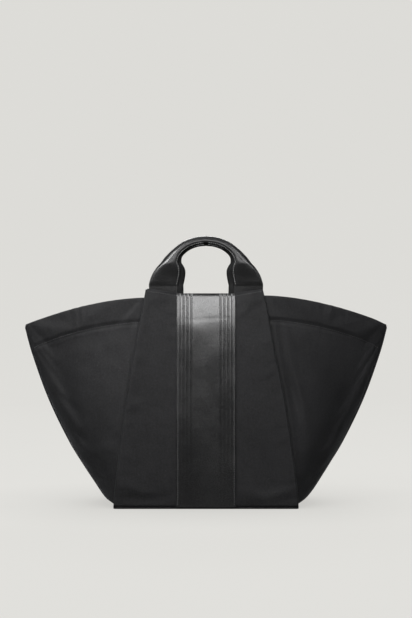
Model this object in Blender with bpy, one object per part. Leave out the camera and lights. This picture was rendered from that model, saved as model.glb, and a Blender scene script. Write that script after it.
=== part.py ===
"""Winged shopper bag of black cloth with a leather band and two rolled leather handles.

Metres, +Z up, front towards -Y. The origin is on the floor under the middle of the base.
"""
import math

import bmesh
import bpy
from mathutils import Matrix, Vector

# Outer shape of the bag
TIP_HALF_WIDTH = 0.254
TIP_HEIGHT = 0.248
BASE_HALF_WIDTH = 0.1255
BASE_HALF_DEPTH = 0.080
MOUTH_HALF_DEPTH = 0.050
WING_RIM_HEIGHT = 0.286
HEM_HEIGHT = 0.034

# Centre panel between its two folds
FOLD_TOP_HALF_WIDTH = 0.080
PANEL_TOP_HEIGHT = 0.2917
PANEL_CORNER_HEIGHT = 0.2978
FOLD_DEPTH = 0.0040
FLANGE_WIDTH = 0.014
TUCK_WIDTH = 0.015

# Cloth, leather and the room that sewn layers leave between them
CLOTH = 0.0016
LINING = 0.0008
FACING = 0.0010
LEATHER = 0.0014
GAP = 0.0003
HEM_RISE = 0.0005
HEM_SLOPE = 0.0015

# Leather band down the middle of the front and the back
BAND_HALF_WIDTH = 0.04025
BAND_THICKNESS = 0.0016
RIB_PITCH = 0.0053
RIB_START = 0.0200
GROOVE_WIDTH = 0.0014
GROOVE_DEPTH = 0.0006
RIBS_A_SIDE = 4

# Base
BASE_THICKNESS = 0.0020
BOARD_THICKNESS = 0.0025
BOARD_MARGIN = 0.0095
BOARD_CORNER = 0.012

# Seam that joins the front and back wings
SIDE_SEAM_THICKNESS = 0.0012
SIDE_SEAM_HALF_WIDTH = 0.0035
SIDE_SEAM_SETBACK = 0.0034

# Soft corner of the wings behind the folds, which dies out above the base
CORNER_ROUND = 0.010
CORNER_HEIGHT = 0.080

# Handles
HINGE_HEIGHT = 0.3036
HANDLE_RISE = 0.0614
TAB_CENTRE = 0.0550
TAB_HALF_WIDTH = 0.0232
TAB_HALF_THICKNESS = 0.0026
GRIP_RADIUS = 0.0056
HANDLE_SEAM_SLIT = 0.0008
TAB_SEWN_LENGTH = 0.038
TAB_CORNER = 0.006

# Magnetic snap
SNAP_RADIUS = 0.009
SNAP_THICKNESS = 0.0028
SNAP_DROP = 0.016
SNAP_STUD_RADIUS = 0.0042
SNAP_STUD_HEIGHT = 0.0016

# Zipped pocket on the back lining
POCKET_HALF_WIDTH = 0.075
POCKET_FLOOR_HEIGHT = 0.112
POCKET_TOP_HEIGHT = 0.230
POCKET_ROOM = 0.0050
ZIP_HEIGHT = 0.214
ZIP_HALF_LENGTH = 0.064
WINDOW_HALF_HEIGHT = 0.0060
TAPE_THICKNESS = 0.0006
TAPE_HALF_HEIGHT = 0.0095
TOOTH_THICKNESS = 0.0012
TOOTH_HEIGHT = 0.0028
TOOTH_WIDTH = 0.0016
TOOTH_PITCH = 0.0032
TEETH_HALF_GAP = 0.0008
STOP_LENGTH = 0.0024
WELT_WIDTH = 0.0060
WELT_THICKNESS = 0.0010

# Zip slider and its puller
SLIDER_HALF_LENGTH = 0.0050
SLIDER_HALF_HEIGHT = 0.0042
SLIDER_PLATE = 0.0010
SLIDER_POST = 0.0010
EAR_THICKNESS = 0.0010
EAR_RADIUS = 0.0014
BAIL_RADIUS = 0.0006
BAIL_STAND_OFF = 0.0026
EYE_HALF_LENGTH = 0.0020
EYE_RADIUS = 0.0020
PULLER_LENGTH = 0.024
PULLER_HALF_WIDTH = 0.0034
PULLER_THICKNESS = 0.0014

# How far a cutting shape runs past what it cuts
OVERRUN = 0.004

# Shares of the side outline: height over the tip's, spread over the whole spread
SIDE_OUTLINE_SHARES = ((0.0, 0.0), (0.07, 0.172), (0.20, 0.343), (0.34, 0.51), (0.58, 0.735),
                       (0.84, 0.917), (1.0, 1.0), (1.17, 1.075))
FOLD_CURVE = 1.3
LEAN_CURVE = 1.3
RIM_CURVE = 1.75
# How far the wing's section leans on its two ends, at the base and at the tip
FRONT_REACH_SHARES = (0.55, 0.40)
SIDE_REACH_SHARES = (0.0, 0.28)
SIDE_DEPTH_SHARES = (0.55, 0.30)
# Half of a handle, from the middle of the grip to the hinge line:
# sideways, height, flare of the width, thickness over the grip's radius
HANDLE_SHARES = ((0.0, 1.0, 0.0, 1.0), (0.255, 0.972, 0.01, 1.0), (0.505, 0.882, 0.03, 1.05),
                 (0.713, 0.725, 0.09, 1.18), (0.826, 0.549, 0.36, 1.22), (0.869, 0.385, 0.75, 1.0),
                 (0.935, 0.221, 0.95, 0.76), (0.980, 0.074, 1.0, 0.56), (1.0, 0.0, 1.0, 0.464))

WING_COLUMNS = 10
BODY_ROWS = 8
PANEL_ROWS = 8
HANDLE_STATIONS = 15
HANDLE_SIDES = 14
ROUND_SIDES = 20
CORE_SIDES = 10

# Depths are counted inwards from the outer face of the centre panel
WING_DEPTH = FOLD_DEPTH + GAP
LINING_DEPTH = WING_DEPTH + CLOTH + GAP
TAB_DEPTH = LINING_DEPTH + TAB_HALF_THICKNESS
FACING_DEPTH = TAB_DEPTH + TAB_HALF_THICKNESS + GAP
SNAP_DEPTH = FACING_DEPTH + FACING + GAP
POCKET_DEPTH = LINING_DEPTH + LINING + GAP
FLOOR_OF_WALLS = BASE_THICKNESS + GAP


def clear_scene():
    for old in list(bpy.data.objects):
        bpy.data.objects.remove(old, do_unlink=True)


def material(name, colour, roughness, metallic=0.0):
    made = bpy.data.materials.new(name)
    made.use_nodes = True
    shader = made.node_tree.nodes["Principled BSDF"]
    shader.inputs["Base Color"].default_value = (*colour, 1.0)
    shader.inputs["Roughness"].default_value = roughness
    shader.inputs["Metallic"].default_value = metallic
    made.diffuse_color = (*colour, 1.0)
    return made


def between(ends, share):
    return ends[0] + (ends[1] - ends[0]) * share


def along(table, share, column):
    """Value of one column of a share table at a share of its first column, on a smooth curve."""
    last = len(table) - 2
    step = max(i for i in range(last + 1) if share >= table[i][0] or i == 0)
    low, high = table[step], table[step + 1]
    before, after = table[max(step - 1, 0)], table[min(step + 2, last + 1)]
    run = high[0] - low[0]
    rise_in = (high[column] - before[column]) / (high[0] - before[0]) * run
    rise_out = (after[column] - low[column]) / (after[0] - low[0]) * run
    t = (share - low[0]) / run
    return ((2 * t**3 - 3 * t**2 + 1) * low[column] + (t**3 - 2 * t**2 + t) * rise_in
            + (3 * t**2 - 2 * t**3) * high[column] + (t**3 - t**2) * rise_out)


def front_depth(z):
    """Distance of the centre panel's outer face from the middle plane."""
    lean = (BASE_HALF_DEPTH - MOUTH_HALF_DEPTH) * (max(z, 0) / PANEL_TOP_HEIGHT) ** LEAN_CURVE
    return BASE_HALF_DEPTH - lean


def fold_half_width(z):
    narrowing = (BASE_HALF_WIDTH - FOLD_TOP_HALF_WIDTH) * (max(z, 0) / PANEL_CORNER_HEIGHT) ** FOLD_CURVE
    return BASE_HALF_WIDTH - narrowing


def side_half_width(z):
    return BASE_HALF_WIDTH + (TIP_HALF_WIDTH - BASE_HALF_WIDTH) * along(SIDE_OUTLINE_SHARES, z / TIP_HEIGHT, 1)


def side_setback(z):
    """Sideways room for the side seam, whose thickness is square to the sloping side."""
    slope = (side_half_width(z + HEM_SLOPE) - side_half_width(max(z - HEM_SLOPE, 0))) \
        / (z + HEM_SLOPE - max(z - HEM_SLOPE, 0))
    return (SIDE_SEAM_THICKNESS + 2 * GAP) * math.hypot(1, slope)


def rim_height(x):
    start = fold_half_width(WING_RIM_HEIGHT)
    share = max(x - start, 0) / (TIP_HALF_WIDTH - start)
    return WING_RIM_HEIGHT - (WING_RIM_HEIGHT - TIP_HEIGHT) * share ** RIM_CURVE


def tuck_at(z):
    return TUCK_WIDTH * min(max(z, 0) / WING_RIM_HEIGHT + LINING / CLOTH, 1.0)


def wing_point(share, z):
    """Outer face of the right front wing; a negative share is the part tucked behind the fold."""
    depth = front_depth(z) - WING_DEPTH
    fold = fold_half_width(z) - CORNER_ROUND * max(0, 1 - z / CORNER_HEIGHT)
    if share < 0:
        return Vector((fold + share * tuck_at(z), -depth, z))
    end = side_half_width(z) - side_setback(z)
    up = z / TIP_HEIGHT
    handles = ((fold, depth),
               (fold + (end - fold) * between(FRONT_REACH_SHARES, up), depth),
               (end - (end - fold) * between(SIDE_REACH_SHARES, up), depth * between(SIDE_DEPTH_SHARES, up)),
               (end, SIDE_SEAM_SETBACK))
    rest = 1 - share
    weights = (rest**3, 3 * rest**2 * share, 3 * rest * share**2, share**3)
    return Vector((sum(w * h[0] for w, h in zip(weights, handles)),
                   -sum(w * h[1] for w, h in zip(weights, handles)), z))


def wing_rim(share):
    """Height of the wing's rim at a share of its width."""
    z = WING_RIM_HEIGHT
    for _ in range(6):
        z = rim_height(wing_point(share, z).x)
    return z


def sheet(columns, rows, place):
    """A grid whose vertices are put in place by column and row; faces look out of the front."""
    bm = bmesh.new()
    bmesh.ops.create_grid(bm, x_segments=columns, y_segments=rows, size=0.5)
    at = {}
    for vertex in bm.verts:
        column = round((vertex.co.x + 0.5) * columns)
        row = round((vertex.co.y + 0.5) * rows)
        at[column, row] = vertex
    for (column, row), vertex in at.items():
        vertex.co = place(column, row)
    bm.normal_update()
    return bm, at


def sink(bm, distance, vertices=None):
    """Move a sheet against its normals, by the same distance off every face."""
    moves = [(v, v.normal * (-distance * v.calc_shell_factor())) for v in (vertices or bm.verts)]
    for vertex, move in moves:
        vertex.co += move
    bm.normal_update()


def prism(outline, heights):
    """A flat outline in x and depth, carried up through a list of heights."""
    bm = bmesh.new()
    corners = [bm.verts.new((x, y, heights[0])) for x, y in outline]
    top = bm.faces.new(corners)
    for low, high in zip(heights, heights[1:]):
        made = bmesh.ops.extrude_face_region(bm, geom=[top])["geom"]
        if low > heights[0] and top.is_valid:
            bmesh.ops.delete(bm, geom=[top], context="FACES_ONLY")
        bmesh.ops.translate(bm, verts=[g for g in made if isinstance(g, bmesh.types.BMVert)],
                            vec=(0, 0, high - low))
        top = next(g for g in made if isinstance(g, bmesh.types.BMFace))
    bmesh.ops.recalc_face_normals(bm, faces=bm.faces)
    return bm


def plate(outline, low_depth, high_depth):
    """A flat outline in x and height, given its thickness along the depth."""
    bm = prism(outline, [low_depth, high_depth])
    for vertex in bm.verts:
        vertex.co.y, vertex.co.z = vertex.co.z, vertex.co.y
    bmesh.ops.reverse_faces(bm, faces=bm.faces)
    return bm


def block(low, high):
    """A box between two corners."""
    bm = bmesh.new()
    bmesh.ops.create_cube(bm, size=1.0)
    middle = (Vector(low) + Vector(high)) / 2
    size = Vector(high) - Vector(low)
    bmesh.ops.scale(bm, vec=size, verts=bm.verts)
    bmesh.ops.translate(bm, vec=middle, verts=bm.verts)
    return bm


def rod(radius, low_x, high_x, sides=ROUND_SIDES, far_radius=None):
    """A round bar along X, centred on the line y = z = 0."""
    bm = bmesh.new()
    bmesh.ops.create_cone(bm, cap_ends=True, segments=sides, radius1=radius,
                          radius2=radius if far_radius is None else far_radius, depth=high_x - low_x)
    bmesh.ops.rotate(bm, matrix=Matrix.Rotation(math.pi / 2, 3, "Y"), verts=bm.verts)
    bmesh.ops.translate(bm, vec=((low_x + high_x) / 2, 0, 0), verts=bm.verts)
    return bm


def shift(bm, move):
    bmesh.ops.translate(bm, vec=move, verts=bm.verts)
    return bm


def lean(bm):
    """Depths counted from the front panel's outer face become places in the bag."""
    for vertex in bm.verts:
        vertex.co.y -= front_depth(vertex.co.z)
    return bm


def flip(bm, axis):
    """Mirror a mesh across the middle plane of one axis."""
    for vertex in bm.verts:
        vertex.co[axis] = -vertex.co[axis]
    bmesh.ops.reverse_faces(bm, faces=bm.faces)
    return bm


def put(name, bm, finish, thickness=None):
    """Turn a bmesh into a named object; a thickness makes a sheet a closed layer, inwards."""
    mesh = bpy.data.meshes.new(name)
    bm.to_mesh(mesh)
    bm.free()
    mesh.shade_smooth()
    mesh.set_sharp_from_angle(angle=math.radians(35))
    mesh.materials.append(finish)
    made = bpy.data.objects.new(name, mesh)
    bpy.context.collection.objects.link(made)
    if thickness:
        layer = made.modifiers.new("thickness", "SOLIDIFY")
        layer.thickness = thickness
        layer.offset = -1.0
        layer.use_even_offset = True
    return made


def joined(name, parts, finish):
    """Fuse several closed meshes into one body with unions."""
    body = put(name, parts[0], finish)
    for number, part in enumerate(parts[1:]):
        add = put(f"{name}_tool_{number}", part, finish)
        add.hide_render = True
        add.display_type = "WIRE"
        union = body.modifiers.new("join", "BOOLEAN")
        union.operation = "UNION"
        union.object = add
    return body


def cut(body, tool):
    """Take a closed mesh away from an object."""
    knife = put(f"{body.name}_cutter", tool, body.data.materials[0])
    knife.hide_render = True
    knife.display_type = "WIRE"
    hole = body.modifiers.new("cut", "BOOLEAN")
    hole.operation = "DIFFERENCE"
    hole.object = knife
    return body


def four_wings(name, build, finish, thickness):
    """One part for each quarter of the bag, from a mesh of the right front quarter."""
    for face, turn_back in (("front", False), ("back", True)):
        for side, turn_left in (("left", True), ("right", False)):
            bm = build()
            if turn_left:
                flip(bm, 0)
            if turn_back:
                flip(bm, 1)
            put(f"{face}_{side}_{name}", bm, finish, thickness)


def both_faces(name, build, finish, thickness=None):
    """The same part on the front and on the back."""
    for face, turn_back in (("front", False), ("back", True)):
        bm = build()
        if turn_back:
            flip(bm, 1)
        put(f"{face}_{name}", bm, finish, thickness)


def wing_row(rim, row):
    """Height of a row of the wing's grid below a point of its rim; the last rows are the hem's."""
    hem = rim - HEM_HEIGHT
    if row <= BODY_ROWS:
        return between((FLOOR_OF_WALLS, hem - HEM_SLOPE), row / BODY_ROWS)
    return between((hem, rim), (row - BODY_ROWS - 1) / 2)


def wing_sheet():
    """Wing cloth from its tuck behind the fold to the side seam, with its turned hem."""
    def place(column, row):
        share = -1.0 if column == 0 else (column - 1) / WING_COLUMNS
        return wing_point(share, wing_row(wing_rim(max(share, 0)), row))

    bm, at = sheet(WING_COLUMNS + 1, BODY_ROWS + 3, place)
    hem = [v for (column, row), v in at.items() if row > BODY_ROWS and column > 1]
    sink(bm, -HEM_RISE, hem)
    return bm


def wing_facing_sheet():
    """Strip of cloth sewn inside the rim of a wing."""
    def place(column, row):
        share = column / WING_COLUMNS
        rim = wing_rim(share)
        return wing_point(share, between((rim - HEM_HEIGHT + GAP, rim), row / 2))

    bm, _ = sheet(WING_COLUMNS, 2, place)
    sink(bm, CLOTH + GAP)
    return bm


def lining_sheet():
    """Lining from side seam to side seam, up to the facings."""
    wing_shares = [1 - step / WING_COLUMNS for step in range(WING_COLUMNS + 1)]
    columns = len(wing_shares) * 2 + 1

    def place(column, row):
        if column < len(wing_shares):
            share, side = wing_shares[column], -1
        elif column > columns - len(wing_shares):
            share, side = wing_shares[columns - column], 1
        else:
            share, side = -1.0, -1 if column == len(wing_shares) else 1
        point = wing_point(share, wing_row(wing_rim(max(share, 0)), row))
        return Vector((side * point.x, point.y, point.z))

    bm, _ = sheet(columns, BODY_ROWS, place)
    sink(bm, CLOTH + GAP)
    return bm


def centre_outline(z):
    """Outer face of the centre panel from one flange, round the folds, to the other flange."""
    roll = FOLD_DEPTH / 2
    corner = fold_half_width(z) - roll
    flange = corner - FLANGE_WIDTH * tuck_at(z) / TUCK_WIDTH
    turn = [(corner + roll * math.sin(angle), roll + roll * math.cos(angle))
            for angle in (math.pi * step / 4 for step in range(5))]
    half = [(flange, FOLD_DEPTH), *turn, ((corner + BAND_HALF_WIDTH) / 2, 0), (BAND_HALF_WIDTH, 0)]
    return [(-x, depth) for x, depth in half] + [(0, 0)] + half[::-1]


def centre_panel_sheet():
    """Cloth centre panel with its pleat folds; its top climbs from the band to the corners."""
    columns = len(centre_outline(0)) - 1

    def place(column, row):
        top_x = abs(centre_outline(PANEL_CORNER_HEIGHT)[column][0])
        climb = (top_x - BAND_HALF_WIDTH) / (FOLD_TOP_HALF_WIDTH - FOLD_DEPTH / 2 - BAND_HALF_WIDTH)
        top = between((PANEL_TOP_HEIGHT, PANEL_CORNER_HEIGHT), min(max(climb, 0), 1))
        z = between((FLOOR_OF_WALLS, top), row / PANEL_ROWS)
        x, depth = centre_outline(z)[column]
        return Vector((x, depth - front_depth(z), z))

    bm, _ = sheet(columns, PANEL_ROWS, place)
    return bm


def rows_between(low, high, rows):
    return [between((low, high), row / rows) for row in range(rows + 1)]


def leather_band():
    """Leather band with pressed ribs beside each edge, laid over the cloth."""
    face = -GAP - BAND_THICKNESS
    half = []
    for number in reversed(range(RIBS_A_SIDE)):
        centre = RIB_START + number * RIB_PITCH
        half += [(centre + GROOVE_WIDTH / 2, face), (centre, face + GROOVE_DEPTH), (centre - GROOVE_WIDTH / 2, face)]
    right = [(BAND_HALF_WIDTH, -GAP), (BAND_HALF_WIDTH, face), *half]
    left = [(-x, y) for x, y in reversed(right)]
    return lean(prism(right + left, rows_between(FLOOR_OF_WALLS, PANEL_TOP_HEIGHT, PANEL_ROWS)))


def centre_facing():
    """Facing behind the sewn ends of a handle."""
    half = FOLD_TOP_HALF_WIDTH - GAP - CLOTH
    outline = [(-half, FACING_DEPTH), (half, FACING_DEPTH), (half, FACING_DEPTH + FACING),
               (-half, FACING_DEPTH + FACING)]
    bottom = WING_RIM_HEIGHT - HEM_HEIGHT
    return lean(prism(outline, rows_between(bottom, PANEL_TOP_HEIGHT, 2)))


def sewn_tab():
    """End of a handle below the bend, sewn between the centre panel and its facing."""
    top = HINGE_HEIGHT - TAB_HALF_THICKNESS - GAP
    bm = block((TAB_CENTRE - TAB_HALF_WIDTH, LINING_DEPTH, top - TAB_SEWN_LENGTH),
               (TAB_CENTRE + TAB_HALF_WIDTH, FACING_DEPTH - GAP, top))
    lower = [e for e in bm.edges if all(v.co.z < top - TAB_SEWN_LENGTH / 2 for v in e.verts)
             and abs(e.verts[0].co.y - e.verts[1].co.y) > CLOTH]
    bmesh.ops.bevel(bm, geom=lower, offset=TAB_CORNER, segments=3, affect="EDGES", profile=0.5, material=-1)
    return lean(bm)


def side_seam(side):
    """Bound seam between the front and back wings, from the base to the tip."""
    def place(column, row):
        z = wing_row(TIP_HEIGHT, row)
        return Vector((side_half_width(z), between((-SIDE_SEAM_HALF_WIDTH, SIDE_SEAM_HALF_WIDTH), column), z))

    bm, _ = sheet(1, BODY_ROWS + 3, place)
    if side < 0:
        flip(bm, 0)
    return put("left_side_seam" if side < 0 else "right_side_seam", bm, CLOTH_BLACK, SIDE_SEAM_THICKNESS)


def handle_centre_y(z):
    """The handles lean in line with the panel below them."""
    slope = (front_depth(HINGE_HEIGHT - HANDLE_RISE) - front_depth(HINGE_HEIGHT)) / HANDLE_RISE
    return TAB_DEPTH - front_depth(HINGE_HEIGHT) + slope * (z - HINGE_HEIGHT)


def handle_station(t):
    """Centre, sideways direction, half width and half thickness of a handle at -1..1 along it.
    The direction is square to the grip and turns level as the handle flares."""
    table = [(step / (len(HANDLE_SHARES) - 1), *row) for step, row in enumerate(HANDLE_SHARES)]

    def middle(u):
        side = -1 if u < 0 else 1
        return Vector((side * TAB_CENTRE * along(table, abs(u), 1), 0,
                       HINGE_HEIGHT + HANDLE_RISE * along(table, abs(u), 2)))

    nudge = 1 / HANDLE_STATIONS / 8
    forward = (middle(min(t + nudge, 1.0)) - middle(max(t - nudge, -1.0))).normalized()
    flare = min(along(table, abs(t), 3), 1.0)
    outward = Vector((-forward.z, 0, forward.x * (1 - flare))).normalized()
    width = GRIP_RADIUS + (TAB_HALF_WIDTH - GRIP_RADIUS) * flare
    return middle(t), outward, width, GRIP_RADIUS * along(table, abs(t), 4)


def ring_loft(rings):
    """Bridge rings of points into one closed skin."""
    bm = bmesh.new()
    loops = []
    for ring in rings:
        corners = [bm.verts.new(point) for point in ring]
        loops.append([bm.edges.new((a, b)) for a, b in zip(corners, corners[1:] + corners[:1])])
    for low, high in zip(loops, loops[1:]):
        bmesh.ops.bridge_loops(bm, edges=low + high)
    for end in (loops[0], loops[-1]):
        bmesh.ops.edgenet_fill(bm, edges=end)
    bmesh.ops.recalc_face_normals(bm, faces=bm.faces)
    return bm


def handle_ring(centre, outward, width, thickness, sides):
    ring = []
    for step in range(sides):
        angle = 2 * math.pi * step / sides
        point = centre + outward * (width * math.cos(angle))
        ring.append(Vector((point.x, handle_centre_y(point.z) + thickness * math.sin(angle), point.z)))
    return ring


def handle_skin():
    """Outside of a handle: flared tab, grip, flared tab, with a rounded end on each hinge line."""
    spans = [step / HANDLE_STATIONS for step in range(-HANDLE_STATIONS, HANDLE_STATIONS + 1)]
    rings = [handle_ring(*handle_station(t), HANDLE_SIDES) for t in spans]
    for t, ends in ((-1.0, 0), (1.0, len(rings))):
        centre, outward, width, thickness = handle_station(t)
        drops = []
        for angle in (math.radians(35), math.radians(70)):
            below = centre - Vector((0, 0, thickness * math.sin(angle)))
            drops.append(handle_ring(below, outward, width - thickness * (1 - math.cos(angle)) / 2,
                                     thickness * math.cos(angle), HANDLE_SIDES))
        if t < 0:
            rings = drops[::-1] + rings
        else:
            rings = rings + drops
    return ring_loft(rings)


def handle_hollow():
    """Inside of the folded leather, open along the seam on the hand's side."""
    end = HANDLE_STATIONS - 1
    rings = []
    for step in range(-end, end + 1):
        centre, outward, width, thickness = handle_station(step / HANDLE_STATIONS)
        open_angle = math.asin(HANDLE_SEAM_SLIT / 2 / (thickness - LEATHER))
        first = math.pi + open_angle
        turn = 2 * math.pi - 2 * open_angle
        ring = []
        for corner in range(CORE_SIDES + 1):
            angle = first + turn * corner / CORE_SIDES
            point = centre + outward * ((width - LEATHER) * math.cos(angle))
            ring.append(Vector((point.x, handle_centre_y(point.z) + (thickness - LEATHER) * math.sin(angle), point.z)))
        for edge in (1, -1):
            point = centre - outward * (width + LEATHER)
            ring.append(Vector((point.x, handle_centre_y(point.z) + edge * HANDLE_SEAM_SLIT / 2, point.z)))
        rings.append(ring)
    return ring_loft(rings)


def handle_core():
    """Cord inside the grip that keeps the rolled leather round."""
    reach = HANDLE_STATIONS // 2
    rings = []
    for step in range(-reach, reach + 1):
        centre, outward, _, _ = handle_station(step / HANDLE_STATIONS)
        radius = GRIP_RADIUS - LEATHER - 2 * GAP
        rings.append(handle_ring(centre, outward, radius, radius, CORE_SIDES))
    return ring_loft(rings)


def handle(face, leather, cord):
    turn_back = face == "back"
    skin, hollow, core = handle_skin(), handle_hollow(), handle_core()
    if turn_back:
        for bm in (skin, hollow, core):
            flip(bm, 1)
    cut(put(f"{face}_handle_leather", skin, leather), hollow)
    put(f"{face}_handle_core", core, cord)


def base(cloth, board, lining):
    put("base_panel", block((-BASE_HALF_WIDTH, -BASE_HALF_DEPTH, 0),
                            (BASE_HALF_WIDTH, BASE_HALF_DEPTH, BASE_THICKNESS)), cloth)
    half_x, half_y = BASE_HALF_WIDTH - BOARD_MARGIN, BASE_HALF_DEPTH - BOARD_MARGIN
    low = FLOOR_OF_WALLS
    for name, thickness, finish in (("base_board", BOARD_THICKNESS, board), ("base_lining", LINING, lining)):
        bm = block((-half_x, -half_y, low), (half_x, half_y, low + thickness))
        upright = [e for e in bm.edges if abs(e.verts[0].co.z - e.verts[1].co.z) > thickness / 2]
        bmesh.ops.bevel(bm, geom=upright, offset=BOARD_CORNER, segments=4, affect="EDGES", profile=0.5, material=-1)
        put(name, bm, finish)
        low += thickness + GAP


def snap_disc(radius, low_depth, high_depth):
    """A disc facing into the bag, on the centre facing's middle."""
    bm = rod(radius, low_depth, high_depth)
    bmesh.ops.rotate(bm, matrix=Matrix.Rotation(math.pi / 2, 3, "Z"), verts=bm.verts)
    middle = PANEL_TOP_HEIGHT - SNAP_DROP
    shift(bm, (0, 0, middle))
    for vertex in bm.verts:
        tilt = (front_depth(middle - radius) - front_depth(middle + radius)) / (2 * radius)
        vertex.co.y += tilt * (vertex.co.z - middle) - front_depth(middle)
    return bm


def magnetic_snap(metal):
    """Socket half on the front facing, stud half on the back facing."""
    face = SNAP_DEPTH + SNAP_THICKNESS
    socket = put("snap_socket", snap_disc(SNAP_RADIUS, SNAP_DEPTH, face), metal)
    cut(socket, snap_disc(SNAP_STUD_RADIUS + GAP, face - SNAP_STUD_HEIGHT, face + OVERRUN))
    joined("snap_stud", [flip(snap_disc(SNAP_RADIUS, SNAP_DEPTH, face), 1),
                         flip(snap_disc(SNAP_STUD_RADIUS, face - SNAP_STUD_HEIGHT / 2, face + SNAP_STUD_HEIGHT), 1)],
           metal)


def pocket_tray(half_width, low, high, room):
    """A cloth pouch that stands off the lining by its room, and the space inside it."""
    back, front = POCKET_DEPTH, POCKET_DEPTH + room + LINING
    bm = prism([(-half_width, back), (half_width, back), (half_width, front), (-half_width, front)],
               rows_between(low, high, 4))
    inside = prism([(-half_width + LINING, back - OVERRUN), (half_width - LINING, back - OVERRUN),
                    (half_width - LINING, front - LINING), (-half_width + LINING, front - LINING)],
                   rows_between(low + LINING, high - LINING, 4))
    return lean(bm), lean(inside)


def zip_frame_depth():
    return POCKET_DEPTH + POCKET_ROOM


def at_zip(bm):
    """Put a mesh made flat at the zip's height on the back wall, in the wall's slope there."""
    slope = (front_depth(ZIP_HEIGHT - TAPE_HALF_HEIGHT) - front_depth(ZIP_HEIGHT + TAPE_HALF_HEIGHT)) \
        / (2 * TAPE_HALF_HEIGHT)
    for vertex in bm.verts:
        vertex.co.y += slope * vertex.co.z - front_depth(ZIP_HEIGHT)
        vertex.co.z += ZIP_HEIGHT
    return flip(bm, 1)


def zip_pocket(cloth, leather, tape_cloth, metal):
    """Zipped pocket on the back lining: pouch, leather welt, tapes, teeth, stops."""
    tray, inside = pocket_tray(POCKET_HALF_WIDTH, POCKET_FLOOR_HEIGHT, POCKET_TOP_HEIGHT, POCKET_ROOM)
    pouch = cut(put("zip_pocket_pouch", flip(tray, 1), cloth), flip(inside, 1))
    sheet_depth = zip_frame_depth()
    window = block((-ZIP_HALF_LENGTH - STOP_LENGTH, sheet_depth - LINING, -WINDOW_HALF_HEIGHT),
                   (ZIP_HALF_LENGTH + STOP_LENGTH, sheet_depth + LINING + OVERRUN, WINDOW_HALF_HEIGHT))
    cut(pouch, at_zip(window)).modifiers[-1].name = "window"

    outer_x = ZIP_HALF_LENGTH + STOP_LENGTH + WELT_WIDTH
    outer_z = WINDOW_HALF_HEIGHT + WELT_WIDTH
    welt_low = sheet_depth + LINING + GAP
    welt = put("zip_pocket_welt", at_zip(block((-outer_x, welt_low, -outer_z),
                                               (outer_x, welt_low + WELT_THICKNESS, outer_z))), leather)
    cut(welt, at_zip(block((-ZIP_HALF_LENGTH - STOP_LENGTH, welt_low - OVERRUN, -WINDOW_HALF_HEIGHT),
                           (ZIP_HALF_LENGTH + STOP_LENGTH, welt_low + OVERRUN, WINDOW_HALF_HEIGHT))))

    tape_high = sheet_depth - GAP
    tape_low = tape_high - TAPE_THICKNESS
    for side, name in ((1, "upper"), (-1, "lower")):
        near, far = TEETH_HALF_GAP, TAPE_HALF_HEIGHT
        low, high = sorted((side * near, side * far))
        put(f"zip_tape_{name}", at_zip(block((-ZIP_HALF_LENGTH - 2 * STOP_LENGTH, tape_low, low),
                                             (ZIP_HALF_LENGTH + 2 * STOP_LENGTH, tape_high, high))), tape_cloth)
        teeth = plate(comb_outline(side), tape_high + GAP, tape_high + GAP + TOOTH_THICKNESS)
        put(f"zip_teeth_{name}", at_zip(teeth), metal)
    for side, name in ((-1, "left"), (1, "right")):
        low, high = sorted((side * ZIP_HALF_LENGTH, side * (ZIP_HALF_LENGTH + STOP_LENGTH)))
        reach = TEETH_HALF_GAP + TOOTH_HEIGHT
        put(f"zip_stop_{name}", at_zip(block((low + GAP, tape_high + GAP, -reach),
                                             (high - GAP, tape_high + GAP + TOOTH_THICKNESS, reach))), metal)


def comb_outline(side):
    """One row of teeth on its bead, in x and height; the rows face each other across a gap."""
    count = int(2 * (ZIP_HALF_LENGTH - TOOTH_PITCH) / TOOTH_PITCH)
    start = -count / 2 * TOOTH_PITCH + side * TOOTH_PITCH / 4
    tip, root, back = TEETH_HALF_GAP, TEETH_HALF_GAP + TOOTH_HEIGHT / 2, TEETH_HALF_GAP + TOOTH_HEIGHT
    outline = [(start, back)]
    for number in range(count):
        left = start + number * TOOTH_PITCH
        outline += [(left, root), (left, tip), (left + TOOTH_WIDTH, tip), (left + TOOTH_WIDTH, root)]
    outline.append((left + TOOTH_WIDTH, back))
    del outline[-2], outline[1]
    return [(x, side * z) for x, z in outline]


def slider_rest_x():
    return ZIP_HALF_LENGTH - SLIDER_HALF_LENGTH - GAP


def bail_depth():
    return zip_frame_depth() + TOOTH_THICKNESS + GAP + SLIDER_PLATE + BAIL_STAND_OFF


def zip_slider(metal):
    """Slider: plates in front of and behind the teeth, a post between, ears and a bail for the puller."""
    tape_high = zip_frame_depth() - GAP
    front_low = tape_high + GAP + TOOTH_THICKNESS + GAP
    back_high = tape_high - TAPE_THICKNESS - GAP
    long, tall = SLIDER_HALF_LENGTH, SLIDER_HALF_HEIGHT
    post = SLIDER_POST / 2
    parts = [block((-long, front_low, -tall), (long, front_low + SLIDER_PLATE, tall)),
             block((-long, back_high - SLIDER_PLATE, -tall), (long, back_high, tall)),
             block((-long / 2, back_high - SLIDER_PLATE / 2, -post), (long / 2, front_low + SLIDER_PLATE / 2, post))]
    for side in (-1, 1):
        low, high = sorted((side * (EYE_HALF_LENGTH + GAP), side * (EYE_HALF_LENGTH + GAP + EAR_THICKNESS)))
        parts.append(block((low, front_low + SLIDER_PLATE / 2, -EAR_RADIUS),
                           (high, bail_depth() + EAR_RADIUS, EAR_RADIUS)))
    reach = EYE_HALF_LENGTH + GAP + EAR_THICKNESS / 2
    parts.append(shift(rod(BAIL_RADIUS, -reach, reach, 10), (0, bail_depth(), 0)))
    joined("zip_slider", [at_zip(shift(part, (slider_rest_x(), 0, 0))) for part in parts], metal)


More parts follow.
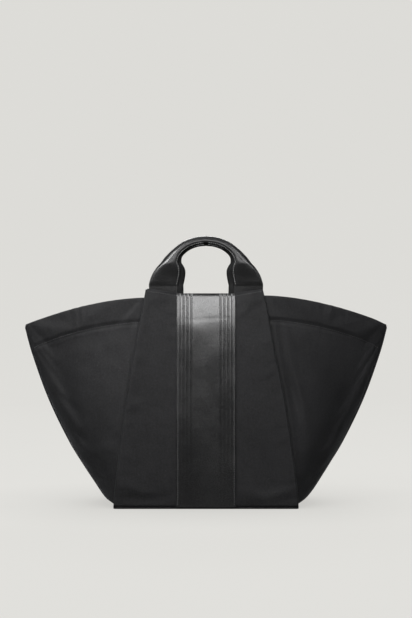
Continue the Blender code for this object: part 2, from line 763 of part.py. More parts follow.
def zip_puller(leather):
    """Puller: an eye round the slider's bail and a tab that hangs from it."""
    eye = shift(rod(EYE_RADIUS, -EYE_HALF_LENGTH, EYE_HALF_LENGTH, 14), (0, 0, 0))
    half = PULLER_THICKNESS / 2
    tab = block((-PULLER_HALF_WIDTH, -half, -PULLER_LENGTH), (PULLER_HALF_WIDTH, half, -EYE_RADIUS - GAP))
    corners = [e for e in tab.edges if abs(e.verts[0].co.y - e.verts[1].co.y) > half]
    bmesh.ops.bevel(tab, geom=corners, offset=PULLER_HALF_WIDTH / 2, segments=3, affect="EDGES",
                    profile=0.5, material=-1)
    neck = block((-EYE_HALF_LENGTH, -half, -EYE_RADIUS * 2), (EYE_HALF_LENGTH, half, -BAIL_RADIUS - 2 * GAP))
    centre = Vector((slider_rest_x(), front_depth(ZIP_HEIGHT) - bail_depth(), ZIP_HEIGHT))
    puller = joined("zip_puller", [shift(part, centre) for part in (tab, neck, eye)], leather)
    cut(puller, shift(rod(BAIL_RADIUS + GAP, -EYE_HALF_LENGTH - OVERRUN, EYE_HALF_LENGTH + OVERRUN, 14), centre))


clear_scene()
CLOTH_BLACK = material("black_cloth", (0.018, 0.018, 0.020), 0.85)
LEATHER_BLACK = material("black_leather", (0.015, 0.015, 0.016), 0.38)
LINING_GREY = material("grey_lining", (0.10, 0.10, 0.11), 0.80)
BOARD_GREY = material("grey_board", (0.20, 0.19, 0.18), 0.90)
CORD_WHITE = material("cotton_cord", (0.62, 0.58, 0.50), 0.90)
METAL_DARK = material("dark_metal", (0.16, 0.16, 0.17), 0.35, 1.0)

base(CLOTH_BLACK, BOARD_GREY, LINING_GREY)
both_faces("centre_panel", centre_panel_sheet, CLOTH_BLACK, CLOTH)
both_faces("leather_band", leather_band, LEATHER_BLACK)
four_wings("wing", wing_sheet, CLOTH_BLACK, CLOTH)
four_wings("facing", wing_facing_sheet, CLOTH_BLACK, FACING)
both_faces("centre_facing", centre_facing, CLOTH_BLACK)
both_faces("lining", lining_sheet, LINING_GREY, LINING)
for seam_side in (-1, 1):
    side_seam(seam_side)
four_wings("handle_tab", sewn_tab, LEATHER_BLACK, None)
for handle_face in ("front", "back"):
    handle(handle_face, LEATHER_BLACK, CORD_WHITE)
magnetic_snap(METAL_DARK)
zip_pocket(LINING_GREY, LEATHER_BLACK, CLOTH_BLACK, METAL_DARK)
zip_slider(METAL_DARK)
zip_puller(LEATHER_BLACK)
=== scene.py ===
# %% [markdown]
# # A winged cloth shopper with a ribbed leather band
# The photograph shows a limp black nylon shopper from straight ahead. Its middle is a cloth panel with a
# leather band, its two sides are wide cloth wings, and two rolled leather handles stand above it.
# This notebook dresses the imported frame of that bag: each soft solid of the frame gives way to cloth or
# leather with folds, seams and stitches, and each hard one keeps its mesh and gets a material.

# %% Load the frame
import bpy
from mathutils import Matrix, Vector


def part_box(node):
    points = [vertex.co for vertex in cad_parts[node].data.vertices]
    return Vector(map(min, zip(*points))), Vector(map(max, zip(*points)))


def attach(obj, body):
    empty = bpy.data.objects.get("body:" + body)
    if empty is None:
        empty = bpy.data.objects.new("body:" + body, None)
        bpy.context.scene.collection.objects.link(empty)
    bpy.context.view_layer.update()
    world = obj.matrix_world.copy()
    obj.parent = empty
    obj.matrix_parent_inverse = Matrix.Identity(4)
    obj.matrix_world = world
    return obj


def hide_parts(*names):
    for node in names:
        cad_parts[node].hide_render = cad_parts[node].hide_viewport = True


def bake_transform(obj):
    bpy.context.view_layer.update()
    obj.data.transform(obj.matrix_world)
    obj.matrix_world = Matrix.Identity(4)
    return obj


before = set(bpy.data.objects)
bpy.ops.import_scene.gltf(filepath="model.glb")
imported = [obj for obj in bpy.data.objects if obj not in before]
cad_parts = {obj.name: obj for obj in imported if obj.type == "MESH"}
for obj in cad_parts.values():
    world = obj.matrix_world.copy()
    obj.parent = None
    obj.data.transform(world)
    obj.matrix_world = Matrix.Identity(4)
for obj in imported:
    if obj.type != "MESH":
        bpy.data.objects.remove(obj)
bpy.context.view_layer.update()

import math
import bmesh
import bpy
import numpy as np
from mathutils import Matrix, Vector, noise

scene = bpy.context.scene
print("nodes:", len(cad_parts))

# %% [markdown]
# ## Sizes
# Lengths are metres. The outline comes from a few heights and widths of the bag, read off the frame where a
# box gives them, and from share tables for the curved edges. The frame's solids follow the same curves, so
# the cloth made here lies where theirs does. Only the side outline is a little fuller, low down.

# %% Sizes of the bag
(BASE_HALF_WIDTH, BASE_HALF_DEPTH, base_top), (BAND_HALF, _, PANEL_TOP), (TIP_HALF_WIDTH, _, _) = (
    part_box(n)[1] for n in ("base_panel", "front_leather_band", "right_side_seam"))
WING_RIM, PANEL_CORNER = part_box("front_right_wing")[1][2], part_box("front_centre_panel")[1][2]
TIP_HEIGHT, MOUTH_HALF_DEPTH = 0.248, 0.050
LEAN_CURVE, FOLD_CURVE, RIM_CURVE = 1.3, 1.3, 1.75
CORNER_ROUND, CORNER_HEIGHT = 0.010, 0.080
FRONT_REACH, SIDE_REACH, SIDE_DEPTH = (0.55, 0.40), (0, 0.28), (0.55, 0.30)
SEAM_THICK, SEAM_SETBACK, SEAM_HALF = 0.0012, 0.0034, 0.0035
FOLD_TOP, FOLD_DEPTH, FLANGE, TUCK = 0.080, 0.0040, 0.014, 0.015
HEM, CLOTH, LINING, GAP = 0.034, 0.0016, 0.0008, 0.0003
BAND_THICK = 0.0016
HINGE, RISE, TAB_CENTRE, TAB_HALF, TAB_THICK, GRIP = 0.3036, 0.0614, 0.0550, 0.0232, 0.0026, 0.0056
TAB_SEWN = 0.038
WING_DEPTH = FOLD_DEPTH + GAP
LINING_DEPTH = WING_DEPTH + CLOTH + GAP
TAB_DEPTH = LINING_DEPTH + TAB_THICK
FACING_DEPTH = TAB_DEPTH + TAB_THICK + GAP
FLOOR = base_top + GAP
# Rows of height and half width of the side outline; then, of a handle's arch, place along it, reach sideways,
# drop from the top as a share still to climb, flare and thickness.
SIDE_SHARES = ((0.0, 0.010), (0.026, 0.100), (0.07, 0.172), (0.20, 0.343), (0.34, 0.51), (0.58, 0.735),
               (0.84, 0.917), (1.0, 1.0), (1.17, 1.075))
HANDLE_SHARES = ((0.0, 1.0, 0.0, 1.0), (0.255, 0.972, 0.01, 1.0), (0.505, 0.882, 0.03, 1.05),
                 (0.713, 0.725, 0.09, 1.18), (0.826, 0.549, 0.36, 1.22), (0.869, 0.385, 0.75, 0.96),
                 (0.935, 0.221, 0.95, 0.66), (0.980, 0.074, 1.0, 0.46), (1.0, 0.0, 1.0, 0.40))
print("tips", round(2 * TIP_HALF_WIDTH, 4), "panel corner", round(PANEL_CORNER, 4))


# %% Curves of the bag
def mix(a, b, share):
    return a + (b - a) * share


def ramp(value, low, high):
    """0 before low, 1 after high, and smooth between."""
    t = min(max((value - low) / (high - low), 0), 1)
    return t * t * (3 - 2 * t)


def near(distance, width):
    """1 on a line, and almost 0 two widths away from it."""
    return math.exp(-(distance / width) ** 2)


def along(table, share, column):
    """One column of a share table, on a smooth curve through its rows."""
    last = len(table) - 2
    step = max(i for i in range(last + 1) if share >= table[i][0] or i == 0)
    low, high = table[step], table[step + 1]
    before, after = table[max(step - 1, 0)], table[min(step + 2, last + 1)]
    run = high[0] - low[0]
    enter = (high[column] - before[column]) / (high[0] - before[0]) * run
    leave = (after[column] - low[column]) / (after[0] - low[0]) * run
    t = (share - low[0]) / run
    return ((2 * t**3 - 3 * t**2 + 1) * low[column] + (t**3 - 2 * t**2 + t) * enter
            + (3 * t**2 - 2 * t**3) * high[column] + (t**3 - t**2) * leave)


def front_depth(z):
    return BASE_HALF_DEPTH - (BASE_HALF_DEPTH - MOUTH_HALF_DEPTH) * (max(z, 0) / PANEL_TOP) ** LEAN_CURVE


def fold_half(z):
    return BASE_HALF_WIDTH - (BASE_HALF_WIDTH - FOLD_TOP) * (max(z, 0) / PANEL_CORNER) ** FOLD_CURVE


def side_half(z):
    return BASE_HALF_WIDTH + (TIP_HALF_WIDTH - BASE_HALF_WIDTH) * along(SIDE_SHARES, z / TIP_HEIGHT, 1)


def side_setback(z):
    low = max(z - 0.0015, 0)
    slope = (side_half(z + 0.0015) - side_half(low)) / (z + 0.0015 - low)
    return (SEAM_THICK + 2 * GAP) * math.hypot(1, slope)


def rim_height(x):
    start = fold_half(WING_RIM)
    return WING_RIM - (WING_RIM - TIP_HEIGHT) * (max(x - start, 0) / (TIP_HALF_WIDTH - start)) ** RIM_CURVE


def wing_start(z):
    """Where a wing comes out from behind the fold; it runs further in at the base's rounded corner."""
    return fold_half(z) - CORNER_ROUND * max(0, 1 - z / CORNER_HEIGHT)


def wing_point(share, z):
    """Outer face of the right front wing at a share of its width; a negative share is tucked behind the fold."""
    depth = front_depth(z) - WING_DEPTH
    fold = wing_start(z)
    if share < 0:
        return Vector((fold + share * TUCK * min(z / WING_RIM + 0.5, 1), -depth, z))
    end, up, rest = side_half(z) - side_setback(z), z / TIP_HEIGHT, 1 - share
    weights = (rest**3, 3 * rest**2 * share, 3 * rest * share**2, share**3)
    xs = (fold, mix(fold, end, mix(*FRONT_REACH, up)), mix(end, fold, mix(*SIDE_REACH, up)), end)
    ys = (depth, depth, depth * mix(*SIDE_DEPTH, up), SEAM_SETBACK)
    return Vector((sum(w * x for w, x in zip(weights, xs)), -sum(w * y for w, y in zip(weights, ys)), z))


def wing_rim(share):
    z = WING_RIM
    for _ in range(6):
        z = rim_height(wing_point(share, z).x)
    return z


print("rim over the fold and at the tip:", round(wing_rim(0), 4), round(wing_rim(1), 4))

# %% [markdown]
# ## Tools for cloth and thread
# A panel is cut as a flat grid and its vertices are then laid on the bag's curves, which is how a pattern
# piece takes its shape. Each grid carries a UV map in metres measured along the cloth, so the weave keeps one
# thread count everywhere. Stitches are small capsules of thread set along a path.

# %% Tools for cloth and thread
def grid(columns, rows, place):
    """A grid laid out by column and row, with the UV map "cloth" in metres along the cloth."""
    bm = bmesh.new()
    bmesh.ops.create_grid(bm, x_segments=columns, y_segments=rows, size=0.5)
    at = {(round((v.co.x + 0.5) * columns), round((v.co.y + 0.5) * rows)): v for v in bm.verts}
    for key, vertex in at.items():
        vertex.co = place(*key)
    bm.normal_update()
    where = {vertex: key for key, vertex in at.items()}
    middle = columns // 2
    across = {r: np.cumsum([at[0, r].co.x] + [(at[c + 1, r].co - at[c, r].co).length for c in range(columns)])
              for r in range(rows + 1)}
    up = np.cumsum([at[middle, 0].co.z] + [(at[middle, r + 1].co - at[middle, r].co).length for r in range(rows)])
    layer = bm.loops.layers.uv.new("cloth")
    for face in bm.faces:
        for loop in face.loops:
            c, r = where[loop.vert]
            loop[layer].uv = (across[r][c], up[r])
    return bm, at


def flip(bm, axis):
    """Mirror a mesh across the middle plane of an axis and keep its faces outward."""
    for vertex in bm.verts:
        vertex.co[axis] = -vertex.co[axis]
    bmesh.ops.reverse_faces(bm, faces=bm.faces)
    bm.normal_update()
    return bm


def to_place(bm, place):
    """Carry a piece made for the right front of the bag to its own side, face or corner."""
    if "left" in place:
        flip(bm, 0)
    if "back" in place:
        flip(bm, 1)
    return bm


def piece(name, bm, material, nodes=(), body="bag", thickness=None, sharp=None):
    """Turn a mesh into a piece of the object that stands for some of the frame's nodes and rides a body."""
    mesh = bpy.data.meshes.new(name)
    bm.to_mesh(mesh)
    bm.free()
    mesh.materials.append(material)
    mesh.polygons.foreach_set("use_smooth", [True] * len(mesh.polygons))
    if sharp is not None:
        mesh.set_sharp_from_angle(angle=math.radians(sharp))
    obj = bpy.data.objects.new(name, mesh)
    scene.collection.objects.link(obj)
    if thickness:
        solid = obj.modifiers.new("cloth thickness", "SOLIDIFY")
        solid.thickness, solid.offset, solid.use_even_offset = thickness, -1.0, True
    if nodes:
        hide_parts(*nodes)
    if body:
        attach(obj, body)
    print(name, len(mesh.polygons), "faces")
    return obj


def capsule_row(bm, template, path, pitch, length, width):
    """Stitches at a pitch along a path of (point, normal); the thread dips into the cloth at both ends."""
    points = [Vector(p) for p, _ in path]
    runs = np.cumsum([0] + [(b - a).length for a, b in zip(points, points[1:])])
    count = max(int(runs[-1] / pitch), 1)
    for number in range(count):
        s = (number + 0.5) / count * runs[-1]
        i = min(int(np.searchsorted(runs, s)), len(points) - 1) or 1
        t = (s - runs[i - 1]) / (runs[i] - runs[i - 1])
        normal = path[i - 1][1].lerp(path[i][1], t).normalized()
        ahead = (points[i] - points[i - 1]).normalized()
        across = normal.cross(ahead).normalized()
        turn = Matrix((ahead, across, across.cross(-ahead))).transposed()
        start = len(bm.verts)
        bm.from_mesh(template)
        bm.verts.ensure_lookup_table()
        size = Vector((length / 2, width / 2, width / 2))
        centre = points[i - 1].lerp(points[i], t)
        for vertex in bm.verts[start:]:
            vertex.co = centre + turn @ (vertex.co * size)


def thread(name, paths, material, pitch, length, width, body="bag"):
    """Rows of stitches as one piece."""
    seed = bmesh.new()
    bmesh.ops.create_uvsphere(seed, u_segments=8, v_segments=6, radius=1)
    bmesh.ops.rotate(seed, matrix=Matrix.Rotation(math.pi / 2, 3, "Y"), verts=seed.verts)
    template = bpy.data.meshes.new("stitch")
    seed.to_mesh(template)
    seed.free()
    bm = bmesh.new()
    for path in paths:
        capsule_row(bm, template, path, pitch, length, width)
    return piece(name, bm, material, body=body)


def grain_noise(x, y, seed, size):
    """Smooth noise from -1 to 1 with features of a size in metres."""
    return noise.noise(Vector((x / size, y / size, seed * 7.31)))


print("tools ready")

# %% [markdown]
# ## Materials
# Three patterns are shared as node groups: a plain weave, a leather grain and a patchy handling mask. Each
# gives heights or masks only. The weave reads the cloth's own UV map and the rest reads object coordinates,
# so nothing slides when a joint moves. The real cloth is a tight black nylon with a faint sheen, the leather
# is smooth, semi-glossy and finely grained, and the lining is a duller grey twill.

# %% Node helpers
def set_inputs(tree, made, **inputs):
    """Set a node's inputs to constants or link them to sockets; _0 means the first input."""
    for key, value in inputs.items():
        socket = made.inputs[int(key[1:])] if key[1:].isdigit() else made.inputs[key.replace("_", " ")]
        if isinstance(value, bpy.types.NodeSocket):
            tree.links.new(value, socket)
        else:
            socket.default_value = value


def node(tree, kind, settings=None, **inputs):
    """A shader node with its settings and inputs."""
    made = tree.nodes.new("ShaderNode" + kind)
    for key, value in (settings or {}).items():
        setattr(made, key, value)
    set_inputs(tree, made, **inputs)
    return made


def numbered(values):
    return {f"_{i}": value for i, value in enumerate(values)}


def maths(tree, operation, *values):
    return node(tree, "Math", {"operation": operation}, **numbered(values)).outputs[0]


def vectors(tree, operation, *values, **named):
    return node(tree, "VectorMath", {"operation": operation}, **numbered(values), **named).outputs[0]


def spread(tree, value, low, high, to_low, to_high):
    """Map a value's range onto another."""
    return node(tree, "MapRange", Value=value, From_Min=low, From_Max=high, To_Min=to_low, To_Max=to_high).outputs[0]


def clouds(tree, place, scale, detail, rough=0.5):
    """Smooth noise; its first output is a value, and Color gives three."""
    return node(tree, "TexNoise", Vector=place, Scale=scale, Detail=detail, Roughness=rough)


def relief(tree, height, distance, strength, **under):
    """A bumped normal, on top of another one given as Normal."""
    return node(tree, "Bump", Height=height, Distance=distance, Strength=strength, **under).outputs[0]


def tint(tree, mask, dark, light):
    """A colour between two linear ones by a mask."""
    made = node(tree, "Mix", {"data_type": "RGBA"}, _0=mask)
    made.inputs[6].default_value, made.inputs[7].default_value = (*dark, 1), (*light, 1)
    return made.outputs[2]


def group(name, inputs, outputs):
    """An empty shader group with float or vector inputs and float outputs."""
    tree = bpy.data.node_groups.new(name, "ShaderNodeTree")
    for label, kind in inputs:
        tree.interface.new_socket(label, in_out="INPUT", socket_type="NodeSocket" + kind)
    for label in outputs:
        tree.interface.new_socket(label, in_out="OUTPUT", socket_type="NodeSocketFloat")
    return tree, tree.nodes.new("NodeGroupInput").outputs, tree.nodes.new("NodeGroupOutput").inputs


# %% Shared patterns
def weave_group():
    """Threads that pass over and under each other, each with its own small tone."""
    tree, enter, leave = group("plain weave", (("Vector", "Vector"), ("Threads", "Float")), ("Height", "Tone"))
    spaced = vectors(tree, "SCALE", enter[0], Scale=enter[1])
    bend = clouds(tree, spaced, 0.12, 1.0)
    bent = vectors(tree, "MULTIPLY_ADD", bend.outputs["Color"], (0.9, 0.9, 0), spaced)
    across, up = node(tree, "SeparateXYZ", Vector=bent).outputs[:2]
    parity = maths(tree, "PINGPONG", maths(tree, "ADD", maths(tree, "FLOOR", across), maths(tree, "FLOOR", up)), 1.0)
    humps = [maths(tree, "ABSOLUTE", maths(tree, "SINE", maths(tree, "MULTIPLY", v, math.pi))) for v in (across, up)]
    height = maths(tree, "ADD", maths(tree, "MULTIPLY", humps[0], parity),
                   maths(tree, "MULTIPLY", humps[1], maths(tree, "SUBTRACT", 1.0, parity)))
    cells = vectors(tree, "FLOOR", bent)
    streak = clouds(tree, vectors(tree, "MULTIPLY", cells, (0.9, 0.04, 0)), 0.5, 2.0)
    tree.links.new(height, leave[0])
    tree.links.new(streak.outputs[0], leave[1])
    return tree


def leather_group():
    """Pebbled grain with fine pores between the pebbles."""
    tree, enter, leave = group("leather grain", (("Vector", "Vector"), ("Size", "Float")), ("Height", "Crease"))
    scale = maths(tree, "DIVIDE", 1.0, enter[1])
    warp = clouds(tree, enter[0], 260.0, 2.0)
    moved = vectors(tree, "MULTIPLY_ADD", warp.outputs["Color"], (0.0012, 0.0012, 0.0012), enter[0])
    cells = node(tree, "TexVoronoi", {"feature": "DISTANCE_TO_EDGE"}, Vector=moved, Scale=scale)
    pores = clouds(tree, moved, maths(tree, "MULTIPLY", scale, 3.0), 3.0, 0.6)
    plateau = spread(tree, cells.outputs[0], 0.0, 0.22, 0.0, 1.0)
    height = maths(tree, "ADD", maths(tree, "MULTIPLY", plateau, 0.75),
                   maths(tree, "MULTIPLY", pores.outputs[0], 0.5))
    tree.links.new(height, leave[0])
    tree.links.new(maths(tree, "SUBTRACT", 1.0, plateau), leave[1])
    return tree


def handling_group():
    """Broad patches that hands have rubbed, and sparse lint, both as masks."""
    tree, enter, leave = group("handling", (("Vector", "Vector"),), ("Patches", "Lint"))
    patches = clouds(tree, enter[0], 14.0, 4.0, 0.6).outputs[0]
    specks = clouds(tree, enter[0], 420.0, 2.0).outputs[0]
    rare = maths(tree, "MULTIPLY", spread(tree, specks, 0.66, 0.76, 0.0, 1.0),
                 spread(tree, patches, 0.45, 0.75, 0.0, 1.0))
    tree.links.new(spread(tree, patches, 0.3, 0.7, 0.0, 1.0), leave[0])
    tree.links.new(rare, leave[1])
    return tree


WEAVE, GRAIN, HANDLING = weave_group(), leather_group(), handling_group()
print("shared patterns:", [g.name for g in (WEAVE, GRAIN, HANDLING)])


# %% Material makers
def blank(name):
    """A new material with its tree, shader, and object and UV coordinates."""
    made = bpy.data.materials.new(name)
    made.use_nodes = True
    coords = made.node_tree.nodes.new("ShaderNodeTexCoord").outputs
    return made, made.node_tree, made.node_tree.nodes["Principled BSDF"], coords["Object"], coords["UV"]


def pattern(tree, shared, **inputs):
    return node(tree, "Group", {"node_tree": shared}, **inputs).outputs


def woven(name, dark, light, rough, sheen, threads=1700.0, depth=0.000035, lint=0.06):
    """A woven cloth: weave relief, streaky threads, rubbed patches, lint and sheen."""
    made, tree, shader, place, cloth = blank(name)
    weave = pattern(tree, WEAVE, Vector=cloth, Threads=threads)
    hand = pattern(tree, HANDLING, Vector=place)
    mottle = spread(tree, clouds(tree, place, 430.0, 3.0).outputs[0], 0.32, 0.68, 0.0, 1.0)
    rubbed = spread(tree, hand[0], 0.0, 1.0, -0.5, 0.5)
    mask = maths(tree, "MULTIPLY", weave[1], 0.45)
    for tone, weight in ((weave[0], 0.2), (rubbed, 0.35), (mottle, 0.42)):
        mask = maths(tree, "ADD", mask, maths(tree, "MULTIPLY", tone, weight))
    dusty = node(tree, "Mix", {"data_type": "RGBA"}, _0=maths(tree, "MULTIPLY", hand[1], lint),
                 _6=tint(tree, mask, dark, light), _7=(0.35, 0.34, 0.33, 1))
    soft = relief(tree, clouds(tree, place, 95.0, 5.0, 0.62).outputs[0], 0.0007, 0.55)
    fine = relief(tree, weave[0], depth, 0.8, Normal=soft)
    set_inputs(tree, shader, Base_Color=dusty.outputs[2], Normal=fine, Sheen_Weight=sheen, Sheen_Roughness=0.45,
               Roughness=spread(tree, hand[0], 0, 1, rough - 0.06, rough + 0.08), Specular_IOR_Level=0.15,
               Sheen_Tint=(0.9, 0.92, 1, 1))
    return made


def hide(name, dark, light, rough, size=0.0011, depth=0.000014, coat=0.3, gloss=0.45):
    """A finished leather: grain relief, darker creases, rubbed roughness and a thin top coat."""
    made, tree, shader, place, _ = blank(name)
    grain = pattern(tree, GRAIN, Vector=place, Size=size)
    hand = pattern(tree, HANDLING, Vector=place)
    slow = relief(tree, clouds(tree, place, 120.0, 2.0).outputs[0], 0.0004, 0.15)
    worn = maths(tree, "ADD", spread(tree, hand[0], 0, 1, rough - 0.05, rough + 0.08),
                 maths(tree, "MULTIPLY", grain[1], 0.15))
    set_inputs(tree, shader, Base_Color=tint(tree, grain[1], light, dark), Roughness=worn, Coat_Weight=coat,
               Coat_Roughness=0.16, Specular_IOR_Level=gloss, Normal=relief(tree, grain[0], depth, 0.7, Normal=slow))
    return made


def metal(name, dark, light, rough):
    """A plated metal with fine brushing and a patchy tone."""
    made, tree, shader, place, _ = blank(name)
    long = node(tree, "Mapping", Vector=place, Scale=(300.0, 5000.0, 5000.0)).outputs[0]
    brush = clouds(tree, long, 1.0, 3.0).outputs[0]
    set_inputs(tree, shader, Base_Color=tint(tree, pattern(tree, HANDLING, Vector=place)[0], dark, light),
               Roughness=spread(tree, brush, 0.3, 0.7, rough - 0.08, rough + 0.12), Metallic=1.0,
               Normal=relief(tree, brush, 0.00003, 0.6))
    return made


def fibre(name, dark, light, rough, stretch, depth):
    """Board, cord or thread: streaky fibres along one direction."""
    made, tree, shader, place, _ = blank(name)
    long = node(tree, "Mapping", Vector=place, Scale=stretch).outputs[0]
    streaks = clouds(tree, long, 1.0, 4.0, 0.65).outputs[0]
    set_inputs(tree, shader, Base_Color=tint(tree, spread(tree, streaks, 0.3, 0.7, 0, 1), dark, light),
               Roughness=rough, Normal=relief(tree, streaks, depth, 0.8), Sheen_Weight=0.2)
    return made


# %% Materials of the bag
NYLON = woven("black nylon", (0.0010, 0.0010, 0.0012), (0.0122, 0.0122, 0.0129), 0.60, 0.04)
NYLON_HEM = woven("black nylon hem", (0.0024, 0.0024, 0.0027), (0.0134, 0.0134, 0.0142), 0.58, 0.05)
TWILL = woven("grey lining twill", (0.060, 0.060, 0.065), (0.110, 0.110, 0.118), 0.70, 0.25, 1400.0, 0.00004)
TAPE = woven("zip tape", (0.016, 0.016, 0.018), (0.040, 0.040, 0.043), 0.65, 0.2, 1300.0, 0.00006, 0.1)
LEATHER = hide("black band leather", (0.004, 0.004, 0.004), (0.009, 0.009, 0.0093), 0.175)
HANDLE_LEATHER = hide("black handle leather", (0.003, 0.003, 0.003), (0.008, 0.008, 0.0082), 0.24, 0.0010, 0.000022,
                      coat=0.10, gloss=0.26)
# The inner strip gets a darker, duller copy of the handle leather: painted shade for the handle's shadowed inside.
INNER_LEATHER_WITH_PAINTED_SHADE = hide("black inner leather with painted shade", (0.003, 0.003, 0.003), (0.007, 0.007, 0.0072), 0.58, 0.0010,
                     coat=0.0, gloss=0.09)
METAL = metal("dark nickel", (0.12, 0.12, 0.125), (0.24, 0.24, 0.25), 0.32)
BOARD = fibre("grey board", (0.13, 0.125, 0.12), (0.26, 0.25, 0.24), 0.9, (90.0, 900.0, 400.0), 0.0001)
CORD = fibre("cotton cord", (0.42, 0.39, 0.33), (0.66, 0.62, 0.54), 0.9, (600.0, 600.0, 600.0), 0.0003)
THREAD, BAND_THREAD, PALE_THREAD = (
    fibre(name, dark, light, rough, (2500.0, 2500.0, 2500.0), 0.00006) for name, dark, light, rough in (
        ("black thread", (0.004, 0.004, 0.0042), (0.014, 0.014, 0.0145), 0.55),
        ("dark grey thread", (0.030, 0.030, 0.031), (0.080, 0.080, 0.082), 0.50),
        ("grey thread", (0.10, 0.10, 0.10), (0.20, 0.20, 0.20), 0.55)))
print("materials:", len(bpy.data.materials))

# %% [markdown]
# ## Slack in the cloth
# Sewn nylon is never as tight as its pattern. Each wing and panel is first laid out as a held sheet with a
# little more cloth than its outline needs, and a short cloth simulation lets it buckle and settle between
# its seams. Only the distance off the smooth shape is kept, capped at a few millimetres, so seams still meet.

# %% Slack in the cloth
SETTLED = {}


def settled(key, across, up):
    """How far a simulated sheet stands off its pattern at a place on it, from 0 to 1 each way."""
    field = SETTLED.get(key)
    if field is None:
        return 0.0
    c = min(max(across, 0), 1) * (field.shape[0] - 1)
    r = min(max(up, 0), 1) * (field.shape[1] - 1)
    i, j = min(int(c), field.shape[0] - 2), min(int(r), field.shape[1] - 2)
    low = mix(field[i, j], field[i + 1, j], c - i)
    return float(mix(low, mix(field[i, j + 1], field[i + 1, j + 1], c - i), r - j))


def settle(key, columns, rows, place, hold, slack, cap, frames=16):
    """Simulate a sheet held by weights from 0 to 1, and keep how far its points move along their normals."""
    bm, at = grid(columns, rows, place)
    start = {k: (v.index, v.co.copy(), v.normal.copy()) for k, v in at.items()}
    mesh = bpy.data.meshes.new(key)
    bm.to_mesh(mesh)
    bm.free()
    cloth = bpy.data.objects.new(key, mesh)
    scene.collection.objects.link(cloth)
    held = cloth.vertex_groups.new(name="held")
    for (column, row), (index, _, _) in start.items():
        held.add([index], hold(column, row), "REPLACE")
    solver = cloth.modifiers.new("settle", "CLOTH")
    facts = solver.settings
    facts.quality, facts.mass = 6, 0.15
    facts.tension_stiffness = facts.compression_stiffness = 18
    facts.shear_stiffness, facts.bending_stiffness = 6, 0.6
    facts.vertex_group_mass, facts.pin_stiffness = "held", 1.0
    facts.shrink_min = facts.shrink_max = -slack
    facts.effector_weights.gravity = 0.3
    solver.point_cache.frame_start, solver.point_cache.frame_end = 1, frames
    for frame_number in range(1, frames + 1):
        scene.frame_set(frame_number)
    after = cloth.evaluated_get(bpy.context.evaluated_depsgraph_get()).data.vertices
    field = np.zeros((columns + 1, rows + 1))
    for (column, row), (index, point, normal) in start.items():
        field[column, row] = cap * math.tanh((after[index].co - point).dot(normal) / cap)
    bpy.data.objects.remove(cloth)
    scene.frame_set(1)
    SETTLED[key] = field
    print(f"{key}: stands off {field.min() * 1000:.1f} to {field.max() * 1000:.1f} mm")


# %% [markdown]
# ## Wings
# Each wing is one piece of nylon from a tuck behind the centre fold to the side seam. Its top is turned over
# into the bag and stitched 34 mm below the rim, so the hem is two layers and the seam puckers both. A sewer
# would cut one panel with the hem allowance on it, so the grid here runs up the outside, round the rim and
# down the inside without a break.

# %% Wings
WING_COLUMNS, BODY_ROWS, HEM_ROWS, ROLL_ROWS, FACING_ROWS = 64, 66, 10, 6, 8
ROLL = 0.00110
SHELL = 0.0008
WING_SLACK, WING_CAP = 0.005, 0.0028
SEEDS = {"front_right": 1, "front_left": 2, "back_right": 3, "back_left": 4}


def wing_normal(share, z):
    """Outward direction of the right front wing."""
    low, high = max(share - 0.01, 0), min(max(share, 0) + 0.01, 1)
    along_x = wing_point(high, z) - wing_point(low, z)
    return along_x.cross(wing_point(max(share, 0), z + 0.001) - wing_point(max(share, 0), z)).normalized()


def billow(corner, share, z, rim):
    """How far a wing's cloth stands off its smooth shape: waves, seam puckers, slack and one corner's crease."""
    seed = SEEDS[corner]
    x = wing_point(max(share, 0), z).x
    inside = ramp(share, 0, 0.12) * (1 - ramp(share, 0.9, 1)) * ramp(z, FLOOR, 0.03)
    wave = 0.0016 * grain_noise(x, z * 0.6, seed, 0.055) + 0.0006 * grain_noise(x, z, seed + 10, 0.021)
    seam = rim - HEM
    pucker = 0.0008 * grain_noise(x, 0, seed + 20, 0.0065) * math.exp(-abs(z - seam) / 0.009)
    step = 0.0007 * ramp(z, seam - 0.0020, seam + 0.0020) - 0.0019 * near(z - seam, 0.0020)
    step -= 0.0006 * near(rim - z - 0.0030, 0.0010)
    step *= 1 - ramp(share, 0.94, 0.985)
    fold = 0.0
    if corner == "front_right":
        line = fold_half(z) + 0.010 + 0.006 * math.sin(z * 21)
        fold = 0.0022 * near(x - line - 0.013, 0.0070) - 0.0042 * near(x - line, 0.0080)
        fold *= ramp(z, 0.09, 0.17) * (1 - ramp(z, 0.235, 0.262))
    if corner == "front_left":
        slant = (x - 0.098) + (z - 0.268) * 0.8
        fold = 0.0022 * near(slant, 0.005) * ramp(z, seam, seam + 0.012)
    slack = settled(corner, share, (z - FLOOR) / (rim - ROLL - FLOOR))
    return (wave + fold) * inside + slack + pucker * min(inside * 2, 1) + step


def corner_rim(corner, share):
    """Height of a wing's rim; the right front one stands a little higher than its pattern."""
    lift = 0.0030 - 0.0018 * share if corner == "front_right" else 0.0
    return wing_rim(share) + lift * (1 - ramp(share, 0.85, 1))


